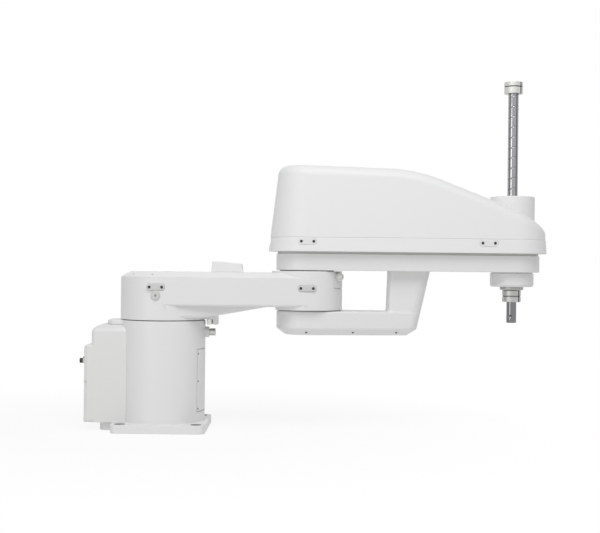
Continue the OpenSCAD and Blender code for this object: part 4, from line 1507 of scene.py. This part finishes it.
for radius, z in levels:
    ring = []
    for turn in turns:
        depth, shade = shaft_cut(turn, z)
        r = radius - depth
        ring.append((SPINDLE_X + r * math.cos(turn), r * math.sin(turn), z))
        shades.append(shade)
    shaft_rings.append(ring)
shaft = skin("spindle", shaft_rings)
# Per point, how far the steel is painted darker: painted shade in the grooves and dimple, painted
# darker reflection on the journal, with some grease.
grease_and_shade = shaft.data.attributes.new("grease_and_shade", "FLOAT", "POINT")
grease_and_shade.data.foreach_set("value", shades)

# Ground bearing steel: bright lands with a faint cloudiness. Grooves, dimple and journal are
# painted darker, partly a film of grease and partly painted shade in the grooves and dimple and
# a painted darker reflection on the journal.
steel = bpy.data.materials.new("ground_bearing_steel")
steel.use_nodes = True
tree = steel.node_tree
surface = tree.nodes["Principled BSDF"]
place = add(tree, "ShaderNodeTexCoord", {})
grease_and_shade_share = add(tree, "ShaderNodeAttribute", {}, attribute_name="grease_and_shade")
tone = add(
    tree,
    "ShaderNodeMix",
    {"Factor": grease_and_shade_share.outputs["Fac"], "A": linear(STEEL_HEX), "B": linear(GROOVE_GREASE_AND_SHADE_HEX)},
    data_type="RGBA",
)
streak = add(
    tree, "ShaderNodeTexNoise", {"Vector": place.outputs["Object"], "Scale": 1 / (1.5 * MM)}
)
gloss = add(
    tree, "ShaderNodeMapRange", {"Value": streak.outputs["Fac"], "To Min": 0.12, "To Max": 0.2}
)
surface.inputs["Metallic"].default_value = 1
tree.links.new(tone.outputs["Result"], surface.inputs["Base Color"])
tree.links.new(gloss.outputs["Result"], surface.inputs["Roughness"])
fit(shaft, "spindle", "ground_steel", steel, "spindle_shaft", crease=60)


# Clamp collars. Split collars, the upper of aluminium and the lower of steel, turned with a
# groove round them and drawn tight on the shaft by a screw across the saw cut. They stop the
# stroke at either end. The groove and the cut are painted darker, as painted shade.
COLLAR_R = 22.5
COLLAR_ROUND = 1.2
COLLAR_GROOVE_W = 2.8
COLLAR_GROOVE_DEPTH = 1.5
GROOVE_ROUND = 0.3
SLIT_W = 3.5
SLIT_TURN = math.radians(-49)
COLLAR_GROOVE_SHADE_HEX = "#77777A"
BLACK_OXIDE_AND_CUT_SHADE_HEX = "#3A3A3C"
COLLARS = (
    # node, piece, material, colour, foot, head and groove
    ("upper_collar", "top_collar", "turned_aluminium", "#CCCCCA", 823.5, 852, 839),
    ("lower_collar", "tool_collar", "oiled_steel", "#BBBBB9", 316, 344, 328.6),
)

# Black oxide: a thin dark film on steel, oiled to a dull sheen; painted shade in the collars' cuts.
black_oxide_and_cut_shade = mottled("black_oxide_steel_and_cut_shade", BLACK_OXIDE_AND_CUT_SHADE_HEX, spacing=1, roughness=(0.35, 0.55), metallic=0.6)

# Grey turned steel, its rings kept, on the bed of the collars' grooves, as painted shade.
collar_groove_shade = tinted(turned_look, "turned_steel_painted_groove_shade", COLLAR_GROOVE_SHADE_HEX)

bed_r = COLLAR_R - COLLAR_GROOVE_DEPTH
for node, name, finish, colour, low, high, groove_z in COLLARS:
    groove_top = groove_z + COLLAR_GROOVE_W
    collar = stack(
        name,
        turned_plan(),
        [
            (SHAFT_R + 2, low),
            (COLLAR_R, low, COLLAR_ROUND),
            (COLLAR_R, groove_z, GROOVE_ROUND),
            (bed_r, groove_z),
            (bed_r, groove_top),
            (COLLAR_R, groove_top, GROOVE_ROUND),
            (COLLAR_R, high, COLLAR_ROUND),
            (SHAFT_R + 2, high),
        ],
        4,
    )
    slit_plan = box_plan(0, COLLAR_R + PAST, SLIT_W, 0.2)
    slit = stack("slit", slit_plan, [(0, low - PAST), (0, high + PAST)])
    slit.data.transform(Matrix.Rotation(SLIT_TURN, 4, "Z"))
    cut(collar, [bore(0, SHAFT_R + APART, low, high), slit])
    collar.data.materials.clear()
    for look in (tinted(turned_look, finish, colour), black_oxide_and_cut_shade, collar_groove_shade):
        collar.data.materials.append(look)
    # Faces in the saw cut take the black oxide and those of the groove's bed the grey, as painted
    # shade.
    unturn = Matrix.Rotation(-SLIT_TURN, 3, "Z")
    for face in collar.data.polygons:
        spot = unturn @ face.center / MM
        in_cut = SHAFT_R + 1 < spot.x < COLLAR_R - 0.2 and abs(spot.y) < SLIT_W / 2 + 0.1
        in_groove = SHAFT_R + 1 < spot.xy.length < COLLAR_R - 0.2 and low + 2 < spot.z < high - 2
        face.material_index = 1 if in_cut else 2 if in_groove else 0
    collar.data.transform(Matrix.Translation((SPINDLE_X * MM, 0, 0)))
    fit(collar, "spindle", "turned_aluminium", None, node)


# Screws. Socket screws, black or plated, wherever a plate, panel or cover is held, all from one
# tree of nodes that sets a head on each noted place.
HEAD_H = 1.6
SOCKET_R = 1.9
SOCKET_DEPTH = 1.2
HEAD_SIDES = 20
heads = bpy.data.node_groups.new("socket_screws", "GeometryNodeTree")
heads.interface.new_socket("Places", in_out="INPUT", socket_type="NodeSocketGeometry")
sizes = {}
for name, value in (
    ("Head radius", SCREW_RADIUS * MM),
    ("Head height", HEAD_H * MM),
    ("Socket radius", SOCKET_R * MM),
    ("Socket depth", SOCKET_DEPTH * MM),
):
    socket = heads.interface.new_socket(name, in_out="INPUT", socket_type="NodeSocketFloat")
    sizes[socket.identifier] = value
look_socket = heads.interface.new_socket(
    "Finish", in_out="INPUT", socket_type="NodeSocketMaterial"
)
heads.interface.new_socket("Screws", in_out="OUTPUT", socket_type="NodeSocketGeometry")
given = add(heads, "NodeGroupInput", {}).outputs
head = add(
    heads,
    "GeometryNodeMeshCylinder",
    {"Vertices": HEAD_SIDES, "Radius": given["Head radius"], "Depth": given["Head height"]},
)
recess = add(
    heads,
    "GeometryNodeMeshCylinder",
    {"Vertices": 6, "Radius": given["Socket radius"], "Depth": given["Socket depth"]},
)
rise = add(heads, "ShaderNodeCombineXYZ", {"Z": given["Head height"]})
raised = add(
    heads,
    "GeometryNodeTransform",
    {"Geometry": recess.outputs["Mesh"], "Translation": rise.outputs[0]},
)
socketed = add(
    heads,
    "GeometryNodeMeshBoolean",
    {"Mesh 1": head.outputs["Mesh"], "Mesh 2": raised.outputs["Geometry"]},
    operation="DIFFERENCE",
)
facing = add(heads, "GeometryNodeInputNamedAttribute", {"Name": "facing"}, data_type="FLOAT_VECTOR")
size = add(heads, "GeometryNodeInputNamedAttribute", {"Name": "size"}, data_type="FLOAT")
turned_out = add(
    heads,
    "FunctionNodeAlignRotationToVector",
    {"Vector": facing.outputs["Attribute"]},
    axis="Z",
)
placed = add(
    heads,
    "GeometryNodeInstanceOnPoints",
    {
        "Points": given["Places"],
        "Instance": socketed.outputs["Mesh"],
        "Rotation": turned_out.outputs["Rotation"],
        "Scale": size.outputs["Attribute"],
    },
)
real = add(heads, "GeometryNodeRealizeInstances", {"Geometry": placed.outputs["Instances"]})
finished = add(
    heads,
    "GeometryNodeSetMaterial",
    {"Geometry": real.outputs["Geometry"], "Material": given["Finish"]},
)
add(heads, "NodeGroupOutput", {0: finished.outputs["Geometry"]})

finishes = {"blackened": black_oxide_and_cut_shade, "plated": zinc}
for (body, finish), noted in screws.items():
    name = body + "_" + finish + "_screws"
    points = bpy.data.meshes.new(name)
    points.from_pydata([spot for spot, out, radius in noted], [], [])
    outward = points.attributes.new("facing", "FLOAT_VECTOR", "POINT")
    outward.data.foreach_set("vector", [part for spot, out, radius in noted for part in out])
    scale = points.attributes.new("size", "FLOAT", "POINT")
    scale.data.foreach_set("value", [radius / (SCREW_RADIUS * MM) for spot, out, radius in noted])
    piece = bpy.data.objects.new(name, points)
    scene.collection.objects.link(piece)
    maker = piece.modifiers.new("heads", "NODES")
    maker.node_group = heads
    for identifier, value in sizes.items():
        maker[identifier] = value
    maker[look_socket.identifier] = finishes[finish]
    bake(piece)
    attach(piece, body)
